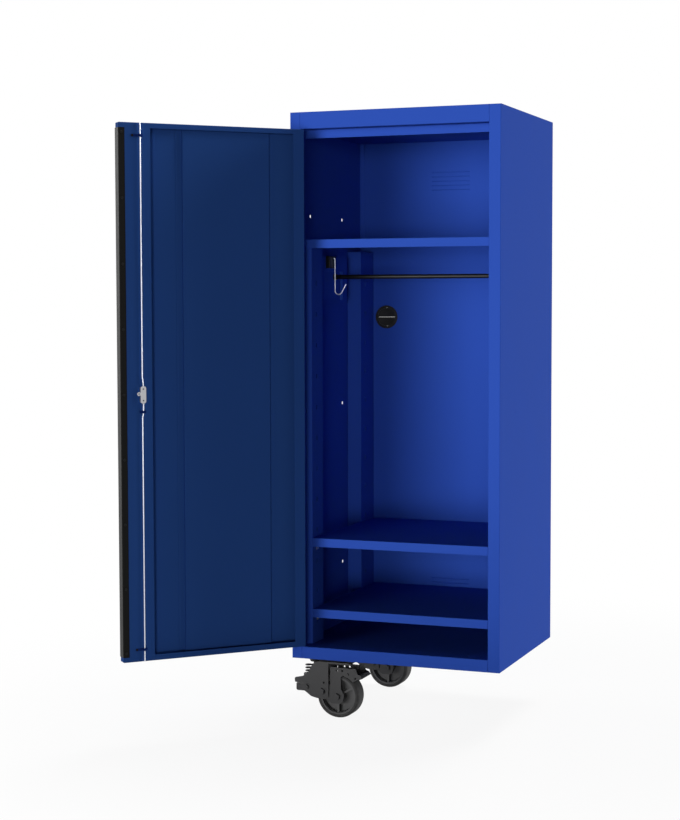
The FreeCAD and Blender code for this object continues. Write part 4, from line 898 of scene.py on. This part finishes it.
class LOCKER_OT_finish_casters(bpy.types.Operator):
    """Paint the caster forks, and finish wheels and treads"""

    bl_idname = "locker.finish_casters"
    bl_label = "Finish the casters"

    def execute(self, context):
        paint = context.scene.locker_paint
        hardware = context.scene.locker_hardware
        fork = powder_coat("caster_fork_paint", paint.caster_grey, shine=0.18, **CASTER_COAT)
        give(nodes_with("caster_paint"), fork)
        # Painted shade: plates and kingpins get a near-black copy of the caster paint for the shade under the
        # cabinet
        black = powder_coat("caster_shaded_black", paint.caster_shaded_black, shine=0.05, **CASTER_COAT)
        for end in ENDS:
            give([end + "_caster_plate", end + "_caster_kingpin"], black)
        core = moulded("wheel_core_nylon", hardware.wheel, grain=0.0010, swing=0.07,
                       roughness=0.46, relief=0.00008, shine=0.2)
        give(nodes_with("wheel_plastic"), core)
        for end in ENDS:
            low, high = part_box(end + "_wheel_tread")
            tread = rolled_rubber(end + "_tread_rubber", hardware.tread, hardware.dust,
                                  (low + high) / 2, (high.z - low.z) / 2)
            give([end + "_wheel_tread"], tread)
        return {"FINISHED"}


class LOCKER_OT_finish_hardware(bpy.types.Operator):
    """Plate, blacken and anodise the rods, the bar, the latch and the pull"""

    bl_idname = "locker.finish_hardware"
    bl_label = "Finish the hardware"

    def execute(self, context):
        hardware = context.scene.locker_hardware
        zinc = drawn_metal("zinc_plate", hardware.zinc, roughness=0.32, **BRIGHT_METAL)
        give(nodes_with("bright_steel"), zinc)
        # The caster bolts take the near-black paint with painted shade
        give(["caster_bolts"], bpy.data.materials["caster_shaded_black"])
        drawn_metal("rod_steel", hardware.rod_steel, roughness=0.40, **BRIGHT_METAL)
        bar = drawn_metal("blackened_bar", hardware.dark_bar, along=(0.03, 1.0, 1.0), swing=0.12,
                          roughness=0.36, relief=0.00002, metal=0.30, shine=0.20)
        give(nodes_with("dark_steel"), bar)
        pull = drawn_metal("anodised_pull", hardware.anodised, along=(1.0, 1.0, 0.02), swing=0.10,
                           roughness=0.46, relief=0.00003, metal=0.0, shine=0.10)
        give(nodes_with("black_anodised"), pull)
        plastic = moulded("black_moulding", hardware.plastic, grain=0.0008, swing=0.12,
                          roughness=0.48, relief=0.00006, shine=0.2)
        give(nodes_with("black_plastic"), plastic)
        return {"FINISHED"}


class LOCKER_OT_stretch_springs(bpy.types.Operator):
    """Weld each caster's spring into one smooth piece in place of its node"""

    bl_idname = "locker.stretch_springs"
    bl_label = "Stretch the springs"

    def execute(self, context):
        for end in ENDS:
            node = end + "_caster_spring"
            work_on(frame["nodes"][node])
            bpy.ops.object.duplicate(linked=False)
            spring = join_up([context.object], end + "_wound_spring")
            edit()
            bpy.ops.mesh.select_all(action="SELECT")
            bpy.ops.mesh.remove_doubles(threshold=SPRING_WELD)
            leave_edit()
            bpy.ops.object.shade_smooth_by_angle(angle=SMOOTH_UNDER)
            spring.parent = None
            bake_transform(spring)
            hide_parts(node)
        return {"FINISHED"}


class LOCKER_OT_detail_latch(bpy.types.Operator):
    """Add the screws and the eyed lug of the latch cover"""

    bl_idname = "locker.detail_latch"
    bl_label = "Detail the latch"

    def execute(self, context):
        details = context.scene.locker_details
        rise = CASE_FOOT + details.latch_rise
        places = []
        for side in (-1, 1):
            spot = Vector((details.latch_from_pin, LATCH_FACE,
                           rise + side * details.screw_pitch / 2))
            places.append(DOOR_PLACE @ Matrix.Translation(spot) @ INTO_CABINET)
        head = screw_head(radius=1.8 * MM, height=0.9 * MM, recess=0.9 * MM)
        screws = copy_to(head, places, "latch_cover_screws")
        hand_over(screws, "door", "blackened_bar")
        spot = Vector((details.latch_from_pin + LATCH_HALF + details.lug_radius - LUG_OVERLAP,
                       LATCH_FACE - LUG_DEPTH, rise + LUG_RISE))
        ear = eyed_lug(details.lug_radius, thickness=1.6 * MM, hole=1.9 * MM, neck=2.0 * MM)
        lug = copy_to(ear, [DOOR_PLACE @ Matrix.Translation(spot) @ INTO_CABINET], "latch_lug")
        hand_over(lug, "door", "zinc_plate")
        return {"FINISHED"}


class LOCKER_OT_run_rods(bpy.types.Operator):
    """Run both lock rods from their straps in the latch to the ends of the door"""

    bl_idname = "locker.run_rods"
    bl_label = "Run the lock rods"

    def execute(self, context):
        details = context.scene.locker_details
        middle = CASE_FOOT + details.latch_rise
        for node, way, strap_depth, straight, step, far_end in RODS:
            start = middle + way * ROD_START
            run = abs(CASE_FOOT + far_end - start) - straight - step
            bar = copy_to(drawn_rod(details.rod_radius, way, straight, (ROD_STEP, step), run),
                          [DOOR_PLACE @ Matrix.Translation((ROD_ENTRY, ROD_DEPTH, start))],
                          node + "_bar")
            spot = (details.latch_from_pin, strap_depth, middle - way * STRAP_AWAY)
            strap = copy_to(slotted_strap(*STRAP_SIZE, STRAP_RIM),
                            [DOOR_PLACE @ Matrix.Translation(spot)], node + "_strap")
            low = STRAP_SIZE[2] / 2 - STRAP_AWAY - STRAP_RIM / 2
            high = ROD_START + details.rod_radius / 2
            spot = (ROD_ENTRY, strap_depth, middle + way * (low + high) / 2)
            neck = copy_to(block((2 * details.rod_radius, STRAP_SIZE[1], high - low), NECK_EDGE),
                           [DOOR_PLACE @ Matrix.Translation(spot)], node + "_neck")
            whole = join_up([bar, strap, neck], node + "_drawn")
            hand_over(whole, node, "rod_steel")
            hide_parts(node)
        return {"FINISHED"}


class LOCKER_OT_fold_guides(bpy.types.Operator):
    """Fold the guides over the lock rods and screw them to the door"""

    bl_idname = "locker.fold_guides"
    bl_label = "Fold the rod guides"

    def execute(self, context):
        details = context.scene.locker_details
        half_span = details.rod_radius + GUIDE_SPACE + GUIDE_GAUGE / 2
        rise = ROD_DEPTH - DOOR_SKIN + half_span - GUIDE_GAUGE / 2
        places = [DOOR_PLACE @ Matrix.Translation((from_pin, DOOR_SKIN, CASE_FOOT + height))
                  @ INTO_CABINET for from_pin, height in END_GUIDES + (ROD_CLIP,)]
        clip = copy_to(saddle(details.guide_width, GUIDE_GAUGE, GUIDE_HEEL, half_span, rise,
                              CLIP_TAB - half_span), [places.pop()], "rod_clip")
        guides = copy_to(saddle(details.guide_width, GUIDE_GAUGE, GUIDE_HEEL, half_span, rise,
                                GUIDE_TAB - half_span), places, "end_guides")
        guides = join_up([guides, clip], "folded_rod_guides")
        # The guides carry the darker copy of the coat with painted shade
        hand_over(guides, "door", "guide_shaded_coat")
        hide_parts("rod_guides")
        shift = Matrix.Translation((GUIDE_SCREW_AT, 0, GUIDE_GAUGE))
        places = [place @ shift for place in places]
        head = screw_head(details.guide_screw_radius, height=1.2 * MM, recess=1.1 * MM)
        screws = copy_to(head, places, "guide_screws")
        hand_over(screws, "door", "anodised_pull")
        return {"FINISHED"}


class LOCKER_OT_hang_coat_hook(bpy.types.Operator):
    """Bend the coat hook and set it in its block on the left bracket"""

    bl_idname = "locker.hang_coat_hook"
    bl_label = "Hang the coat hook"

    def execute(self, context):
        details = context.scene.locker_details
        drop = HOOK_TOP[2] - HOOK_TOP_BEND - HOOK_LOWEST - details.hook_bend
        wire = bent_hook(details.hook_wire, HOOK_SEAT, HOOK_TOP_BEND, drop, details.hook_bend,
                         details.hook_sweep, HOOK_TIP)
        hook = copy_to(wire, [CABINET_PLACE @ Matrix.Translation(HOOK_TOP)], "bent_coat_hook")
        hand_over(hook, "cabinet", "rod_steel")
        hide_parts("coat_hook")
        base = copy_to(mount_block(HOOK_BLOCK, edge=0.8 * MM, border=3.0 * MM, sunk=0.5 * MM),
                       [CABINET_PLACE @ Matrix.Translation(HOOK_BLOCK_AT)], "coat_hook_block")
        hand_over(base, "cabinet", "blackened_bar")
        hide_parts("coat_hook_base")
        return {"FINISHED"}


class LOCKER_OT_socket_bar(bpy.types.Operator):
    """Set a cup for each end of the hanger bar"""

    bl_idname = "locker.socket_bar"
    bl_label = "Socket the hanger bar"

    def execute(self, context):
        details = context.scene.locker_details
        places = []
        for x, turn in BAR_SOCKETS:
            place = Matrix.Translation((x, BAR_LINE[0], BAR_LINE[1]))
            places.append(CABINET_PLACE @ place @ Matrix.Rotation(math.radians(turn), 4, "Y"))
        cup = bar_cup(details.cup_radius, length=10.0 * MM, wall=2.0 * MM, flange=2.0 * MM)
        cups = copy_to(cup, places, "moulded_bar_cups")
        hand_over(cups, "cabinet", "black_moulding")
        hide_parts("bar_cups")
        return {"FINISHED"}


class LOCKER_OT_cap_grommet(bpy.types.Operator):
    """Close the cable grommet with a slotted cap"""

    bl_idname = "locker.cap_grommet"
    bl_label = "Cap the grommet"

    def execute(self, context):
        details = context.scene.locker_details
        upper = CABINET_PLACE @ Matrix.Translation(CAP_AT) @ OUT_OF_CABINET
        lower = upper @ Matrix.Rotation(math.pi, 4, "Z")
        cap = copy_to(half_cap(CAP_RADIUS, CAP_DEPTH, details.cable_slot), [upper, lower],
                      "slotted_cap")
        hand_over(cap, "cabinet", "black_moulding")
        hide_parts("grommet_cap")
        return {"FINISHED"}


class LOCKER_OT_plug_side(bpy.types.Operator):
    """Close the unused bolt holes of the right side with painted caps"""

    bl_idname = "locker.plug_side"
    bl_label = "Plug the right side"

    def execute(self, context):
        details = context.scene.locker_details
        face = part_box("side_panel_right")[1].x
        places = []
        for y in PLUG_Y:
            for z in PLUG_Z:
                spot = Vector((face - PLUG_SUNK, y, z))
                places.append(Matrix.Translation(spot) @ OUT_OF_SIDE)
        plug = sheet_plug(details.plug_radius, thickness=0.8 * MM, rim=0.9 * MM, groove=0.25 * MM)
        plugs = copy_to(plug, places, "side_plugs")
        hand_over(plugs, "cabinet", "blue_powder_coat")
        return {"FINISHED"}


class LOCKER_OT_detail_back_wall(bpy.types.Operator):
    """Add the rivets and the pressed ridges round the louvres of the back wall"""

    bl_idname = "locker.detail_back_wall"
    bl_label = "Detail the back wall"

    def execute(self, context):
        details = context.scene.locker_details
        places = []
        for rise in RIVET_RISE:
            spot = Vector((CASE_LEFT + RIVET_X, BACK_FACE, CASE_FOOT + rise))
            places.append(Matrix.Translation(spot) @ OUT_OF_CABINET)
        head = screw_head(details.stud_radius, height=1.2 * MM, recess=0.8 * MM)
        rivets = copy_to(head, places, "back_wall_rivets")
        hand_over(rivets, "cabinet", "blackened_bar")
        for name, rise, height in LOUVRE_FIELDS:
            spot = Vector((CASE_LEFT + LOUVRE_MIDDLE, BACK_FACE - LOUVRE_SUNK, CASE_FOOT + rise))
            field = pressed_frame(LOUVRE_FIELD_W, height, rise=0.9 * MM,
                                  border=details.louvre_border)
            ridge = copy_to(field, [Matrix.Translation(spot) @ OUT_OF_CABINET], name)
            hand_over(ridge, "cabinet", "blue_powder_coat")
        return {"FINISHED"}


class LOCKER_OT_set_studio(bpy.types.Operator):
    """Lay the floor and set the camera, the lights and the white surroundings"""

    bl_idname = "locker.set_studio"
    bl_label = "Set the studio"

    def execute(self, context):
        studio = context.scene.locker_studio
        lay_floor(studio)
        surround(context, studio)
        for name, azimuth, elevation, spread, power, flagged in LAMPS:
            lamp = hang_lamp(name, azimuth, elevation, spread, power)
            if flagged:
                flag_from_door(lamp)
        stand_camera(context, studio)
        context.scene.view_settings.view_transform = "Standard"
        return {"FINISHED"}


# ------------------------------------------------------------ sidebar and start
GROUPS = (
    ("locker_paint", LockerPaint),
    ("locker_hardware", LockerHardware),
    ("locker_details", LockerDetails),
    ("locker_studio", LockerStudio),
)
OPERATORS = (
    LOCKER_OT_paint_sheet,
    LOCKER_OT_finish_casters,
    LOCKER_OT_finish_hardware,
    LOCKER_OT_stretch_springs,
    LOCKER_OT_detail_latch,
    LOCKER_OT_run_rods,
    LOCKER_OT_fold_guides,
    LOCKER_OT_hang_coat_hook,
    LOCKER_OT_socket_bar,
    LOCKER_OT_cap_grommet,
    LOCKER_OT_plug_side,
    LOCKER_OT_detail_back_wall,
    LOCKER_OT_set_studio,
)


class LOCKER_PT_sidebar(bpy.types.Panel):
    """Lists the sizes, the colours and the steps of the locker"""

    bl_idname = "LOCKER_PT_sidebar"
    bl_label = "Side Locker"
    bl_space_type = "VIEW_3D"
    bl_region_type = "UI"
    bl_category = "Side Locker"

    def draw(self, context):
        column = self.layout.column()
        for name, group in GROUPS:
            settings = getattr(context.scene, name)
            for field in group.__annotations__:
                column.prop(settings, field)
        for operator in OPERATORS:
            column.operator(operator.bl_idname)


def register():
    for name, group in GROUPS:
        bpy.utils.register_class(group)
        setattr(bpy.types.Scene, name, bpy.props.PointerProperty(type=group))
    for operator in OPERATORS:
        bpy.utils.register_class(operator)
    bpy.utils.register_class(LOCKER_PT_sidebar)


def unregister():
    bpy.utils.unregister_class(LOCKER_PT_sidebar)
    for operator in reversed(OPERATORS):
        bpy.utils.unregister_class(operator)
    for name, group in reversed(GROUPS):
        delattr(bpy.types.Scene, name)
        bpy.utils.unregister_class(group)


def main():
    register()
    bpy.ops.locker.paint_sheet()
    bpy.ops.locker.finish_casters()
    bpy.ops.locker.finish_hardware()
    bpy.ops.locker.stretch_springs()
    bpy.ops.locker.detail_latch()
    bpy.ops.locker.run_rods()
    bpy.ops.locker.fold_guides()
    bpy.ops.locker.hang_coat_hook()
    bpy.ops.locker.socket_bar()
    bpy.ops.locker.cap_grommet()
    bpy.ops.locker.plug_side()
    bpy.ops.locker.detail_back_wall()
    bpy.ops.locker.set_studio()


if __name__ == "__main__":
    main()
